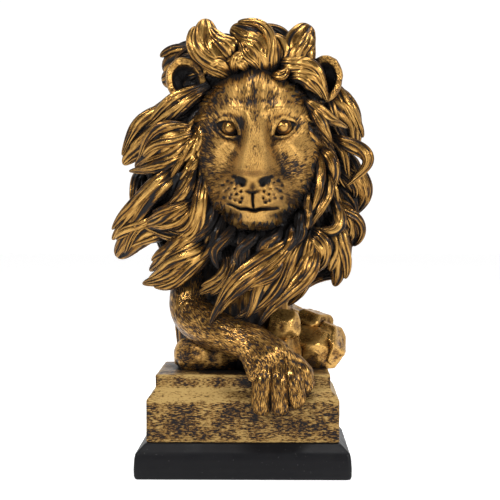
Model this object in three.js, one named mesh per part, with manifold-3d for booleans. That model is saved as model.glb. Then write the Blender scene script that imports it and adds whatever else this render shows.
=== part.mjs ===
// A lion's head with its mane, one foreleg over the front of a stepped block, and a low plinth.
// The head, mane, foreleg, rocks and block are one casting. The plinth is a second piece.
// Millimetres, +Z up, the lion looks along -Y, and the plinth stands on z = 0 about the origin.
import * as THREE from "three";
import { ConvexGeometry } from "three/addons/geometries/ConvexGeometry.js";
import { LoftGeometry } from "three/addons/geometries/LoftGeometry.js";
import { mergeVertices } from "three/addons/utils/BufferGeometryUtils.js";
import Module from "manifold-3d";

// Plinth
const PLINTH_WIDTH = 148;
const PLINTH_DEPTH = 114;
const PLINTH_HEIGHT = 24;
const PLINTH_CORNER = 2.5;
const PLINTH_SHOULDER = 7.5;

// Stepped block
const BLOCK_MARGIN = 8;
const BLOCK_HEIGHT = 29;
const BLOCK_CORNER = 2;
const SLOPE_HEIGHT = 7;
const SLOPE_INSET = 6;
const STEP_HEIGHT = 10;
const WORN_EDGE = 0.8;

// Lion, from the top of the step to the top of its hair
const LION_HEIGHT = 250;

// Worked out from the sizes above
const BLOCK_WIDTH = PLINTH_WIDTH - 2 * BLOCK_MARGIN;
const BLOCK_DEPTH = PLINTH_DEPTH - 2 * BLOCK_MARGIN;
const BLOCK_FRONT = -BLOCK_DEPTH / 2;
const STEP_TOP = PLINTH_HEIGHT + BLOCK_HEIGHT + SLOPE_HEIGHT + STEP_HEIGHT;

// The figure is carved in shares of its own height. One share is a 250th of it, and a place in
// the figure is [right, back, up] in shares from a point on the step behind the block's front.
const SHARES = 250;
const SHARE = LION_HEIGHT / SHARES;
const FIGURE_BACK = 49;
const figureY = BLOCK_FRONT + FIGURE_BACK * SHARE;

const wasm = await Module();
wasm.setup();

// Turns a closed geometry into a solid that can be joined and cut.
function solidOf(geometry) {
  const bare = new THREE.BufferGeometry();
  bare.setAttribute("position", geometry.attributes.position);
  bare.setIndex(geometry.index);
  const merged = mergeVertices(bare, 1e-4);
  const vertProperties = new Float32Array(merged.attributes.position.array);
  const triVerts = new Uint32Array(merged.index.array);
  return new wasm.Manifold(new wasm.Mesh({ numProp: 3, vertProperties, triVerts }));
}

// Joins solids into one, and fills the closed pockets that are left between them.
function joined(solids) {
  const whole = solids.reduce((sum, next) => sum.add(next));
  const outer = whole.decompose().filter((body) => body.volume() > 0);
  return outer.reduce((sum, next) => sum.add(next));
}

function geometryOf(solid) {
  const { numProp, numVert, vertProperties, triVerts } = solid.getMesh();
  const positions = new Float32Array(numVert * 3);
  for (let i = 0; i < numVert; i++) {
    positions.set(vertProperties.subarray(i * numProp, i * numProp + 3), i * 3);
  }
  const geometry = new THREE.BufferGeometry();
  geometry.setAttribute("position", new THREE.BufferAttribute(positions, 3));
  geometry.setIndex(new THREE.BufferAttribute(triVerts, 1));
  geometry.computeVertexNormals();
  return geometry;
}

const clamp = THREE.MathUtils.clamp;
const lerp = THREE.MathUtils.lerp;
const degrees = THREE.MathUtils.degToRad;

// Rises smoothly from 0 at x0 to 1 at x1.
const ramp = (x, x0, x1) => THREE.MathUtils.smoothstep(x, x0, x1);

// A repeatable value between -1 and 1 for each number n.
function chance(n) {
  const wave = Math.sin(n * 127.1 + 11.7) * 43758.5453;
  return 2 * (wave - Math.floor(wave)) - 1;
}

// A smooth swelling of height 1 at (ca, cb), wa by wb wide, turned by a number of degrees.
function swell(a, b, ca, cb, wa, wb, turn = 0, power = 2) {
  const c = Math.cos(degrees(turn));
  const s = Math.sin(degrees(turn));
  const p = ((a - ca) * c + (b - cb) * s) / wa;
  const q = ((b - cb) * c - (a - ca) * s) / wb;
  return Math.exp(-(Math.abs(p) ** power) - Math.abs(q) ** power);
}

// Face: how far it stands forward of its own middle plane, in shares, at a place `a` beside its
// middle line and `b` above the line of the eyes.
const FACE = { x: 9, y: -14, eyes: 171, top: 44, chin: -76, wide: 46, deep: 34 };

// Half the width of the bare head at a height b.
function faceHalfWidth(b) {
  const middle = (FACE.top + FACE.chin) / 2;
  const high = (FACE.top - FACE.chin) / 2;
  const share = clamp(1 - Math.abs((b - middle) / high) ** 2.4, 0, 1);
  return (FACE.wide - 9 * ramp(b, 0, 50)) * share ** (1 / 2.2);
}

function faceRelief(a, b) {
  const s = Math.hypot(a, 0.8);
  const wide = Math.max(faceHalfWidth(b), 1e-6);
  const middle = (FACE.top + FACE.chin) / 2;
  const high = (FACE.top - FACE.chin) / 2;
  const upright = clamp(1 - Math.abs((b - middle) / high) ** 2.4, 0, 1) ** 0.55;
  const across = clamp(1 - Math.abs(a / wide) ** 2.2, 0, 1) ** 0.55;
  let f = FACE.deep * upright * across;
  // forehead and brows
  f += 3.0 * swell(s, b, 17, 21, 11, 10) - 1.8 * swell(s, b, 0, 20, 4, 16);
  f += 4.2 * swell(s, b, 18, 10.5, 11, 5.5, -4);
  // eye sockets
  f -= 6.5 * swell(s, b, 19.5, -2, 10.5, 7.5, 20);
  f -= 4.0 * swell(s, b, 12.5, -9, 4.5, 5.5, -30);
  // bridge of the nose, broad and flat, rising forward to the nose
  const half = 9.5 + 5 * ramp(-b, -2, 36);
  const rise = 4 + 20 * ramp(-b, -20, 38);
  f += (rise / (1 + (s / half) ** 5)) * (1 - ramp(-b, 35, 45));
  // muzzle with its two pads, and the chin
  f += 27 * Math.exp(-((s / 24) ** 3.2)) * ramp(-b, 32, 45) * (1 - ramp(-b, 66, 77));
  f += 8.5 * swell(s, b, 11, -47.5, 9, 8.6, 0, 2.4);
  f += 5 * swell(s, b, 0, -66, 14.5, 8, 0, 2.8);
  // cheek bones and the creases beside the muzzle
  f += 3.2 * swell(s, b, 25, -15, 9, 8, -20);
  f -= 3.4 * swell(s, b, 18, -23, 3.6, 11, 12);
  // leather of the nose, nostrils, the slit under the nose and the mouth
  const wedge = s + 1.15 * Math.max(-(b + 36), 0) - 14.5;
  f += 2.4 * (1 - ramp(wedge, -2.5, 0.6)) * (1 - ramp(b, -34.5, -32));
  f -= 6 * swell(s, b, 9.4, -38.5, 4.6, 2.8, -14);
  f -= 3.5 * Math.exp(-((a / 1.8) ** 2)) * ramp(-b, 46, 49) * (1 - ramp(-b, 56, 59));
  f -= 5 * Math.exp(-(((b + 57.5) / 2) ** 2)) * (1 - ramp(s, 20, 26));
  return Math.max(f, 0);
}

// A closed surface: point(u, v) goes once round with u and from one pole to the other with v.
function closedSurface(columns, rows, point) {
  const positions = [];
  for (let i = 1; i < rows; i++) {
    for (let j = 0; j < columns; j++) positions.push(...point(j / columns, i / rows));
  }
  const first = positions.length / 3;
  positions.push(...point(0, 0), ...point(0, 1));
  const at = (i, j) => i * columns + (j % columns);
  const index = [];
  for (let j = 0; j < columns; j++) {
    index.push(first, at(0, j), at(0, j + 1));
    for (let i = 0; i < rows - 2; i++) {
      index.push(at(i, j), at(i + 1, j), at(i, j + 1));
      index.push(at(i, j + 1), at(i + 1, j), at(i + 1, j + 1));
    }
    index.push(at(rows - 2, j), first + 1, at(rows - 2, j + 1));
  }
  const geometry = new THREE.BufferGeometry();
  geometry.setAttribute("position", new THREE.Float32BufferAttribute(positions, 3));
  geometry.setIndex(index);
  return geometry;
}

// The bare head: the face in front, with most of the columns and the closest ones near its middle
// line, and a plain round back.
function head() {
  const frontShare = 0.84;
  const rows = 29;
  const columns = 25;
  return closedSurface(columns, rows, (u, v) => {
    const b = lerp(FACE.top, FACE.chin, v);
    const wide = faceHalfWidth(b);
    const front = u < frontShare;
    const t = front ? (2 * u) / frontShare - 1 : 1 - (2 * (u - frontShare)) / (1 - frontShare);
    const a = wide * (front ? 0.62 * t + 0.38 * t ** 3 : t);
    const back = 14 * Math.sqrt(Math.max(1 - t * t, 0)) * (wide / FACE.wide);
    const forward = front ? faceRelief(a, b) : -back;
    return [FACE.x + a, FACE.y - forward, FACE.eyes + b];
  });
}

// A round or squarish solid: power 2 is an ellipsoid, and a higher one is fuller at its corners.
function lump([x, y, z], [rx, ry, rz], power = 2, across = 12, up = 8) {
  const geometry = new THREE.SphereGeometry(1, across, up).rotateX(Math.PI / 2);
  const place = geometry.attributes.position;
  for (let i = 0; i < place.count; i++) {
    const p = new THREE.Vector3().fromBufferAttribute(place, i);
    const reach = Math.abs(p.x) ** power + Math.abs(p.y) ** power + Math.abs(p.z) ** power;
    p.multiplyScalar(reach ** (-1 / power));
    place.setXYZ(i, x + rx * p.x, y + ry * p.y, z + rz * p.z);
  }
  return geometry;
}

// A tube through rings: ring(t) gives its middle, its two half-axes as vectors, and `groove`, the
// depth of the furrow along its front as a share of the second half-axis.
function ringTube(stations, sides, ring) {
  const sections = [];
  for (let i = 0; i <= stations; i++) {
    const { middle, across, out, groove = 0 } = ring(i / stations);
    const section = [];
    for (let j = 0; j < sides; j++) {
      const angle = (2 * Math.PI * (j + 0.5)) / sides;
      const furrow = 1 - groove * Math.exp(-((Math.cos(angle) / 0.35) ** 2)) * (Math.sin(angle) > 0);
      const point = middle.clone().addScaledVector(across, Math.cos(angle));
      section.push(point.addScaledVector(out, Math.sin(angle) * furrow));
    }
    sections.push(section);
  }
  return new LoftGeometry(sections, { closed: true, capStart: true, capEnd: true });
}

const LOCK_STATIONS = 5;
const LOCK_SIDES = 6;
const LOCK_FULLNESS = 1.22;
const LOCK_FURROW = 0.3;

// A lock of hair from one place to another. `bow` bends it sideways, `curl` gives it an S, `belly`
// lifts its middle off the mane, and it swells from its root and closes in a blunt tip.
function lock(from, to, { bow = 0, curl = 0, belly = 5, wide, thick, out = [0, -1, 0] }) {
  const start = new THREE.Vector3(...from);
  const run = new THREE.Vector3(...to).sub(start);
  const outward = new THREE.Vector3(...out).normalize();
  const side = outward.clone().cross(run).normalize();
  const width = LOCK_FULLNESS * wide;
  const depth = thick ?? 0.5 * width + 3;
  const at = (t) => {
    const sideways = bow * Math.sin(Math.PI * t) + curl * Math.sin(2 * Math.PI * t);
    const point = start.clone().addScaledVector(run, t).addScaledVector(side, sideways);
    return point.addScaledVector(outward, belly * Math.sin(Math.PI * t));
  };
  return ringTube(LOCK_STATIONS, LOCK_SIDES, (t) => {
    const heading = at(Math.min(t + 0.02, 1)).sub(at(Math.max(t - 0.02, 0))).normalize();
    const across = outward.clone().cross(heading).normalize();
    const up = heading.clone().cross(across);
    const root = 0.55 + 0.45 * ramp(t, 0, 0.35);
    const full = root * Math.max(1 - t ** 4, 0.01) ** 0.65;
    return {
      middle: at(t),
      across: across.multiplyScalar((width / 2) * full),
      out: up.multiplyScalar((depth / 2) * full),
      groove: LOCK_FURROW,
    };
  });
}

// Locks that the front view shows, root and tip in shares of the figure. Those that spring from
// the edge of the face start a little inside it.
function frontLocks() {
  const leftEdge = FACE.x - FACE.wide;
  const rightEdge = FACE.x + FACE.wide;
  return [
    // over the forehead
    lock([-4, -22, 208], [-29, -18, 247], { bow: 8, wide: 18 }),
    lock([17, -27, 205], [-11, -24, 241], { bow: -8, wide: 24, thick: 15 }),
    lock([24, -10, 210], [2, -6, 243], { bow: -7, wide: 18 }),
    lock([38, -22, 208], [47, -18, 245], { bow: 5, wide: 20, thick: 13 }),
    lock([-18, -6, 209], [-60, 2, 212], { bow: -10, wide: 20 }),
    lock([rightEdge - 28, -27, 205], [58, -23, 188], { bow: 10, wide: 12 }),
    lock([rightEdge - 31, -26, 211], [50, -22, 219], { bow: -2, wide: 10 }),
    // left side, from the temple down
    lock([leftEdge + 13, -22, 200], [-80, -2, 159], { bow: -1, wide: 11 }),
    lock([-32, -12, 192], [-87, 4, 142], { bow: -4, wide: 22, thick: 15 }),
    lock([leftEdge + 5, -27, 169], [-77, -6, 139], { bow: -5, wide: 18, thick: 12 }),
    lock([leftEdge + 2, -28, 156], [-82, -4, 137], { bow: 2, wide: 9 }),
    lock([-42, -22, 145], [-95, 4, 88], { bow: -3, wide: 14 }),
    lock([leftEdge + 3, -33, 144], [-65, -16, 108], { bow: 8, wide: 9 }),
    lock([leftEdge + 12, -36, 135], [-73, -12, 99], { bow: 21, curl: -3, wide: 11 }),
    lock([leftEdge + 4, -33, 120], [-73, -10, 98], { bow: 2, wide: 11 }),
    lock([-50, -10, 112], [-92, 8, 84], { bow: -3, wide: 18 }),
    lock([-26, -27, 100], [-67, -8, 66], { bow: -3, wide: 13 }),
    lock([-19, -29, 90], [-72, -10, 57], { bow: 3, wide: 14 }),
    lock([-12, -30, 92], [-32, -20, 50], { bow: 10, curl: 2, wide: 11 }),
    // beard
    lock([37, -42, 98], [-23, -42, 34], { wide: 11 }),
    lock([41, -38, 95], [-7, -38, 37], { bow: 4, wide: 10 }),
    lock([43, -33, 92], [10, -38, 32], { bow: 3, curl: 3, wide: 9 }),
    lock([43, -38, 92], [34, -20, 46], { bow: 8, wide: 13 }),
    // right side
    lock([rightEdge - 15, -31, 190], [73, -14, 167], { wide: 8 }),
    lock([51, -6, 201], [80, 8, 152], { bow: 7, wide: 20 }),
    lock([58, -16, 165], [72, -13, 126], { bow: 21, curl: -3, wide: 9, belly: 3 }),
    lock([52, -23, 158], [62, -19, 124], { bow: 6, wide: 8 }),
    lock([60, -19, 124], [43, -30, 97], { bow: 17, wide: 8, belly: 3 }),
    lock([63, -2, 154], [79, 10, 106], { bow: 10, curl: -3, wide: 17 }),
    lock([58, -4, 124], [70, 8, 80], { bow: 9, curl: -3, wide: 18 }),
    lock([54, -20, 107], [63, -12, 60], { bow: 8, wide: 14 }),
    lock([42, -33, 98], [44, -22, 64], { bow: 12, wide: 10 }),
    lock([rightEdge - 6, -25, 156], [36, -37, 101], { bow: 6, wide: 10 }),
    lock([56, -22, 141], [42, -32, 93], { bow: 4, wide: 10 }),
  ];
}

// The mane's rounded mass, which the locks lie on.
const MANE = { middle: [1, 10, 135], half: [68, 44, 80], power: 2.8 };

// A place on the mane's mass at an angle round it (0 is the lion's left, 90 its back) and a height.
function maneSurface(angle, up) {
  const rise = Math.abs((up - MANE.middle[2]) / MANE.half[2]) ** MANE.power;
  const reach = clamp(1 - rise, 0.02, 1) ** (1 / MANE.power);
  const c = Math.cos(degrees(angle));
  const s = Math.sin(degrees(angle));
  const round = (Math.abs(c) ** MANE.power + Math.abs(s) ** MANE.power) ** (-1 / MANE.power);
  return [
    MANE.middle[0] + MANE.half[0] * reach * round * c,
    MANE.middle[1] + MANE.half[1] * reach * round * s,
    up,
  ];
}

// Rows of overlapping locks round the back of the mane, the lower rows under the upper ones.
function backLocks() {
  const rows = [
    { up: 204, drop: 60, count: 4 },
    { up: 152, drop: 62, count: 5 },
    { up: 104, drop: 50, count: 4 },
  ];
  const locks = [];
  rows.forEach(({ up, drop, count }, row) => {
    for (let i = 0; i < count; i++) {
      const angle = lerp(18, 162, (i + (row % 2) * 0.5) / (count - 0.5));
      const wander = 9 * chance(10 * row + i);
      const root = maneSurface(angle, up);
      const tip = maneSurface(angle + wander, Math.max(up - drop, 62));
      tip[2] = up - drop;
      const out = [Math.cos(degrees(angle)), Math.sin(degrees(angle)), 0.1];
      locks.push(lock(root, tip, { bow: wander, curl: -4, wide: 30, thick: 16, belly: 7, out }));
    }
  });
  return locks;
}

// An ear: a deep cup turned forward, its opening taller than it is wide.
const EAR = { wide: 13.6, wall: 3, deep: 16, tall: 1.24 };

function ear(x, y, z, turn, lean) {
  const { wide, deep } = EAR;
  const inside = wide - EAR.wall;
  const outer = [[0, -deep], [0.6 * wide, -0.75 * deep], [wide, -0.2 * deep], [wide, 0]];
  const inner = [[inside, 0], [0.7 * inside, -0.42 * deep], [0, -0.6 * deep]];
  const profile = [...outer, ...inner].map(([r, h]) => new THREE.Vector2(r, h));
  const cup = new THREE.LatheGeometry(profile, 12);
  cup.scale(1, 1, EAR.tall);
  return cup.rotateX(Math.PI).rotateY(degrees(lean)).rotateZ(degrees(turn)).translate(x, y, z);
}

// The foreleg: down from the shoulder, round the elbow, and along to the knuckles, where it is
// flatter and wider.
function foreleg() {
  const places = [
    [-27, 6, 82], [-36, -2, 62], [-37, -10, 42], [-24, -24, 31],
    [-8, -38, 26], [7, -47, 21], [17, -51, 11], [23.5, -53, 0],
  ];
  const line = new THREE.CatmullRomCurve3(places.map((place) => new THREE.Vector3(...place)));
  const forward = new THREE.Vector3(0.3, -0.9, 0.3);
  return ringTube(10, 9, (t) => {
    const heading = line.getTangent(t);
    const across = forward.clone().cross(heading).normalize();
    const out = heading.clone().cross(across);
    const wide = lerp(15, 13, ramp(t, 0.3, 0.6)) + 6 * ramp(t, 0.65, 0.92);
    const deep = lerp(15, 9.5, ramp(t, 0.4, 0.85)) - 4 * ramp(t, 0.85, 1);
    return {
      middle: line.getPoint(t),
      across: across.multiplyScalar(wide),
      out: out.multiplyScalar(deep),
    };
  });
}

// Four toes that fan from the knuckles and hang down the block's front: the first is the thickest
// and the outermost one is higher.
function toes() {
  const tips = [[12.5, -55, -24.5], [25, -56.5, -24.5], [36.5, -55, -20], [43, -49, -9.5]];
  const radii = [7.6, 6.9, 6.9, 6.9];
  return tips.map(([x, y, z], i) => {
    const root = new THREE.Vector3(lerp(x, 23, 0.45), -45, 15 - 1.5 * i);
    const knuckle = new THREE.Vector3(x, y - 6, lerp(z, 12, 0.62));
    const line = new THREE.QuadraticBezierCurve3(root, knuckle, new THREE.Vector3(x, y, z));
    return ringTube(6, 7, (t) => {
      const across = new THREE.Vector3(1, 0, 0.15 * (i - 1.5));
      const out = line.getTangent(t).cross(across).normalize();
      const full = radii[i] * Math.sqrt(1 - 0.8 * ramp(t, 0.75, 1));
      return {
        middle: line.getPoint(t),
        across: across.multiplyScalar(full),
        out: out.multiplyScalar(full),
      };
    });
  });
}

// A broken rock: the hull of places spread over an ellipsoid, each moved a little.
function rock([x, y, z], [rx, ry, rz], seed, places = 16, rough = 0.22) {
  const points = [];
  for (let i = 0; i < places; i++) {
    const up = 1 - (2 * (i + 0.5)) / places;
    const angle = i * 2.39996;
    const ring = Math.sqrt(1 - up * up);
    const reach = 1 + rough * chance(seed + i);
    points.push(new THREE.Vector3(
      x + rx * ring * Math.cos(angle) * reach,
      y + ry * ring * Math.sin(angle) * reach,
      Math.max(z + rz * up * reach, -1),
    ));
  }
  return new ConvexGeometry(points);
}

function rocks() {
  return [
    lump([-25, 4, 7], [27, 26, 13], 2.6, 12, 6),
    rock([27, -20, 32], [12, 10, 13], 3, 12, 0.1),
    rock([44, 8, 13], [25, 20, 19], 21, 14, 0.1),
    rock([62, 10, 17], [11, 17, 16], 40, 12, 0.1),
    rock([48, 18, 29], [16, 14, 12], 55, 12, 0.1),
    rock([22, -12, 14], [19, 20, 18], 70, 14, 0.1),
    rock([-22, 24, 18], [30, 24, 32], 90, 18, 0.14),
    rock([20, 24, 18], [36, 23, 31], 120, 18, 0.14),
  ];
}

// A ring of a rectangle with rounded corners, at a height, counter-clockwise from above.
function rectangleRing(width, depth, corner, z, steps = 4) {
  const ring = [];
  for (let quarter = 0; quarter < 4; quarter++) {
    const signX = quarter === 0 || quarter === 3 ? 1 : -1;
    const signY = quarter < 2 ? 1 : -1;
    for (let i = 0; i <= steps; i++) {
      const angle = (Math.PI / 2) * (quarter + i / steps);
      ring.push(new THREE.Vector3(
        signX * (width / 2 - corner) + corner * Math.cos(angle),
        signY * (depth / 2 - corner) + corner * Math.sin(angle),
        z,
      ));
    }
  }
  return ring;
}

// A stack of rounded rectangles, each given as [height, how far it stands in from the outline].
function steppedSolid(width, depth, corner, levels) {
  const rings = levels.map(([z, inset]) => {
    const radius = Math.max(corner - 0.5 * inset, 0.4 * corner);
    return rectangleRing(width - 2 * inset, depth - 2 * inset, radius, z);
  });
  return new LoftGeometry(rings, { closed: true, capStart: true, capEnd: true });
}

// Upright at its foot, then leaning in, and cut back in a slope to the block's foot.
function plinth() {
  return steppedSolid(PLINTH_WIDTH, PLINTH_DEPTH, PLINTH_CORNER, [
    [0, 1.2],
    [0.07 * PLINTH_HEIGHT, 0.2],
    [0.3 * PLINTH_HEIGHT, 0],
    [0.58 * PLINTH_HEIGHT, 0.06 * PLINTH_SHOULDER],
    [0.74 * PLINTH_HEIGHT, 0.16 * PLINTH_SHOULDER],
    [PLINTH_HEIGHT, PLINTH_SHOULDER],
  ]);
}

function steppedBlock() {
  const slopeFoot = PLINTH_HEIGHT + BLOCK_HEIGHT;
  return steppedSolid(BLOCK_WIDTH, BLOCK_DEPTH, BLOCK_CORNER, [
    [PLINTH_HEIGHT, 0],
    [slopeFoot, 0],
    [slopeFoot + SLOPE_HEIGHT, SLOPE_INSET],
    [STEP_TOP - WORN_EDGE, SLOPE_INSET],
    [STEP_TOP, SLOPE_INSET + WORN_EDGE],
  ]);
}

// The eyeball's middle, in shares from the face's own middle line and the line of the eyes.
const EYE = { side: 18, up: 0.2, forward: 26, radius: 5.2 };

function eyes() {
  return [-1, 1].map((hand) => {
    const place = [FACE.x + hand * EYE.side, FACE.y - EYE.forward, FACE.eyes + EYE.up];
    return lump(place, [EYE.radius, EYE.radius, EYE.radius], 2, 10, 6);
  });
}

function lionCasting() {
  const forms = [
    head(),
    ...eyes(),
    lump(MANE.middle, MANE.half, MANE.power, 16, 10),
    lump([-8, 14, 40], [43, 32, 62], 2.6, 14, 6),
    lump([4, -4, 208], [36, 20, 22], 2, 12, 6),
    lump([14, -22, 98], [32, 18, 20], 2, 12, 6),
    lump([-38, -3, 200], [13, 12, 13], 2, 10, 6),
    lump([54, -3, 200], [13, 12, 13], 2, 10, 6),
    ear(-40, -21, 205, 14, -18),
    ear(56, -21, 205, -16, 18),
    ...frontLocks(),
    ...backLocks(),
    foreleg(),
    ...toes(),
    ...rocks(),
  ];
  const place = new THREE.Matrix4().makeTranslation(0, figureY, STEP_TOP);
  place.scale(new THREE.Vector3(SHARE, SHARE, SHARE));
  return [...forms.map((form) => form.applyMatrix4(place)), steppedBlock()];
}

const antiqueGold = new THREE.MeshStandardMaterial({ color: 0xa87a2a, roughness: 0.42, metalness: 0.85 });
antiqueGold.name = "antique_gold";
const satinBlack = new THREE.MeshStandardMaterial({ color: 0x141414, roughness: 0.5, metalness: 0 });
satinBlack.name = "satin_black";

const castingMesh = new THREE.Mesh(geometryOf(joined(lionCasting().map(solidOf))), antiqueGold);
castingMesh.name = "lion_casting";
const plinthMesh = new THREE.Mesh(plinth(), satinBlack);
plinthMesh.name = "plinth";

const statue = new THREE.Group();
statue.add(castingMesh, plinthMesh);
export default statue;
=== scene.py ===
"""A lion's head and foreleg on a stepped block: the looks of the cast statue, round its solids.

Shapes are worked out in millimetres, or in shares of the lion's own height (one share is a 250th),
and turned into metres when a piece's mesh is made.
"""

import bpy
import numpy as np
from bpy.props import FloatProperty, FloatVectorProperty, PointerProperty
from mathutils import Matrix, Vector


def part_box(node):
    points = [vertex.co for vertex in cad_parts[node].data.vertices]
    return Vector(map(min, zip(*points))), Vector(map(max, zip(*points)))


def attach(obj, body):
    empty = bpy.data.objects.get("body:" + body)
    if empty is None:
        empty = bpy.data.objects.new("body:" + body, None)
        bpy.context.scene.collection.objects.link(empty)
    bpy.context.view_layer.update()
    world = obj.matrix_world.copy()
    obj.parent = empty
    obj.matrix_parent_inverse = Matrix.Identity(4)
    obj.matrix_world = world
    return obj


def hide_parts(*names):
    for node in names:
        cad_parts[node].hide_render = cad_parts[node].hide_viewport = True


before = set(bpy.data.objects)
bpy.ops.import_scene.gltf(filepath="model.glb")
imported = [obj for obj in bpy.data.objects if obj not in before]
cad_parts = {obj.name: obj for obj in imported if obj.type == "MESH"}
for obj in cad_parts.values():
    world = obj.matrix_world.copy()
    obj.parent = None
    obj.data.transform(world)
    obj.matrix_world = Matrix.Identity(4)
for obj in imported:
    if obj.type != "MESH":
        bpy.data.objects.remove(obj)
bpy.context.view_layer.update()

bl_info = {
    "name": "Lion head statue",
    "version": (1, 0, 0),
    "blender": (4, 5, 0),
    "location": "View3D > Sidebar > Lion",
    "description": "Builds a cast lion's head with its mane and foreleg on a stepped block",
    "category": "Add Mesh",
}

MM = 0.001
PLINTH_LOW, PLINTH_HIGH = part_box("plinth")
PLINTH_SIZE = PLINTH_HIGH - PLINTH_LOW
PLINTH_CORNER, PLINTH_SHOULDER, BLOCK_CORNER = 2.5, 7.5, 2.0  # mm
SHARES = 250.0  # of the lion's height
FIGURE_BACK = 49.0  # shares from the block's front to the figure's point on the step
FLOW_STEP = 0.9  # mm of the block's and plinth's flow maps for each of their rings


class LionSizes(bpy.types.PropertyGroup):
    """Sizes of the statue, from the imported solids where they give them."""

    plinth_width: FloatProperty(
        name="Plinth width", description="Width of the black plinth",
        default=PLINTH_SIZE.x, unit="LENGTH")
    plinth_depth: FloatProperty(
        name="Plinth depth", description="Depth of the black plinth from front to back",
        default=PLINTH_SIZE.y, unit="LENGTH")
    plinth_height: FloatProperty(
        name="Plinth height", description="Height of the black plinth",
        default=PLINTH_SIZE.z, unit="LENGTH")
    block_margin: FloatProperty(
        name="Block margin", description="How far the block stands in from the plinth's outline",
        default=0.008, unit="LENGTH")
    block_height: FloatProperty(
        name="Block height", description="Height of the block's upright lower part",
        default=0.029, unit="LENGTH")
    slope_height: FloatProperty(
        name="Slope height", description="Height of the sloping shoulder above the lower part",
        default=0.007, unit="LENGTH")
    slope_inset: FloatProperty(
        name="Slope inset", description="How far the shoulder leans in",
        default=0.006, unit="LENGTH")
    step_height: FloatProperty(
        name="Step height", description="Height of the upper step",
        default=0.010, unit="LENGTH")
    lion_height: FloatProperty(
        name="Lion height", description="From the top of the step to the top of the hair",
        default=0.250, unit="LENGTH")


class LionColours(bpy.types.PropertyGroup):
    """Colours of the paint and of the stage."""

    gold_bright: FloatVectorProperty(
        name="Rubbed gold", description="Gold on the parts that stand proud",
        default=(0.50, 0.285, 0.080), subtype="COLOR", size=3)
    # Deep gold shows where less gold was rubbed on, and also where the finishes paint shade.
    gold_deep_and_shaded: FloatVectorProperty(
        name="Deep gold", description="Gold where less of it was rubbed on",
        default=(0.135, 0.058, 0.011), subtype="COLOR", size=3)
    stone_gold: FloatVectorProperty(
        name="Block gold", description="Duller gold of the stepped block",
        default=(0.37, 0.245, 0.085), subtype="COLOR", size=3)
    ground_black: FloatVectorProperty(
        name="Black ground", description="Black paint that stays in the hollows",
        default=(0.011, 0.010, 0.010), subtype="COLOR", size=3)
    plinth_black: FloatVectorProperty(
        name="Plinth black", description="Satin black of the plinth",
        default=(0.006, 0.006, 0.007), subtype="COLOR", size=3)
    floor_white: FloatVectorProperty(
        name="Floor", description="Pale floor under the statue",
        default=(0.95, 0.95, 0.95), subtype="COLOR", size=3)


def sizes():
    return bpy.context.scene.lion_sizes


def colours():
    return bpy.context.scene.lion_colours


# Small formulas shared by the shapes


def ramp(x, low, high):
    """Rises smoothly from 0 at low to 1 at high: 3t^2 - 2t^3 of the clipped share t."""
    t = np.clip((x - low) / (high - low), 0.0, 1.0)
    return t * t * (3.0 - 2.0 * t)


def lerp(a, b, t):
    """The value t of the way from a to b."""
    return a + (b - a) * t


def rotated(a, b, degrees):
    """Two coordinates turned by an angle: a cos - b sin, and a sin + b cos."""
    c, s = np.cos(np.radians(degrees)), np.sin(np.radians(degrees))
    return a * c - b * s, a * s + b * c


def swell(a, b, ca, cb, wa, wb, turn=0.0, power=2.0):
    """A smooth bump, exp(-|p|^power - |q|^power), p and q counted from (ca, cb) in wa and wb."""
    q, p = rotated(b - cb, a - ca, turn)
    return np.exp(-np.abs(p / wa) ** power - np.abs(q / wb) ** power)


def seam(a, b, p, q, width):
    """1 on the line from p to q and less away from it: exp of minus the squared distance."""
    p, q = np.array(p, float), np.array(q, float)
    d = q - p
    t = np.clip(((a - p[0]) * d[0] + (b - p[1]) * d[1]) / (d @ d), 0.0, 1.0)
    away = (a - p[0] - t * d[0]) ** 2 + (b - p[1] - t * d[1]) ** 2
    return np.exp(-away / width ** 2)


def chance(n):
    """A repeatable value between -1 and 1 for each number n: the fraction of a fast sine."""
    wave = np.sin(np.asarray(n, float) * 127.1 + 11.7) * 43758.5453
    return 2.0 * (wave - np.floor(wave)) - 1.0


def drift(p, seed=0.0):
    """Smooth noise between -1 and 1: a chance at each corner of a unit lattice, blended between."""
    cell = np.floor(p)
    t = p - cell
    t = t * t * (3.0 - 2.0 * t)
    total = 0.0
    for corner in np.ndindex(2, 2, 2):
        share = np.prod(np.where(np.array(corner) == 1, t, 1.0 - t), axis=-1)
        total = total + share * chance((cell + corner) @ np.array([1.13, 7.17, 3.71]) + seed)
    return total


def unit(v):
    """Vectors of length 1 along the last axis."""
    return v / np.maximum(np.linalg.norm(v, axis=-1, keepdims=True), 1e-9)


def spread(*parts):
    """Places whose coordinates are the parts, all brought to one shape."""
    return np.stack(np.broadcast_arrays(*parts), -1)


def full_turn(count):
    """A row of angles in even steps round a circle."""
    return np.linspace(0, 2 * np.pi, count, endpoint=False)[None]


def directions(rows, columns, pole):
    """Angles up from one pole (a share `pole` short of both), angles round, and directions."""
    v = np.linspace(pole, 1 - pole, rows)[:, None] * np.pi
    u = full_turn(columns)
    return v, u, spread(np.sin(v) * np.cos(u), np.sin(v) * np.sin(u), -np.cos(v))


def run_along(path):
    """The length of a path up to each of its points, as a column."""
    return np.cumsum(np.linalg.norm(np.diff(path, axis=0, prepend=path[:1]), axis=1))[:, None]


def frame_along(path, outward):
    """Directions across a path, and up from it towards outward, at each of its points."""
    heading = unit(np.gradient(path, axis=0))
    across = unit(np.cross(outward, heading))
    return across, np.cross(heading, across)


def oval_rings(path, across, up, half_wide, half_thick, theta):
    """Ovals round a path: half_wide cos(theta) across it and half_thick sin(theta) up from it."""
    return path[:, None] + (across[:, None] * (half_wide * np.cos(theta))[..., None]
                            + up[:, None] * (half_thick * np.sin(theta))[..., None])


def arc(start, towards, stop, t):
    """The quadratic curve from start to stop that leans towards a point."""
    return (1 - t) ** 2 * start + 2 * t * (1 - t) * towards + t ** 2 * stop


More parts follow.
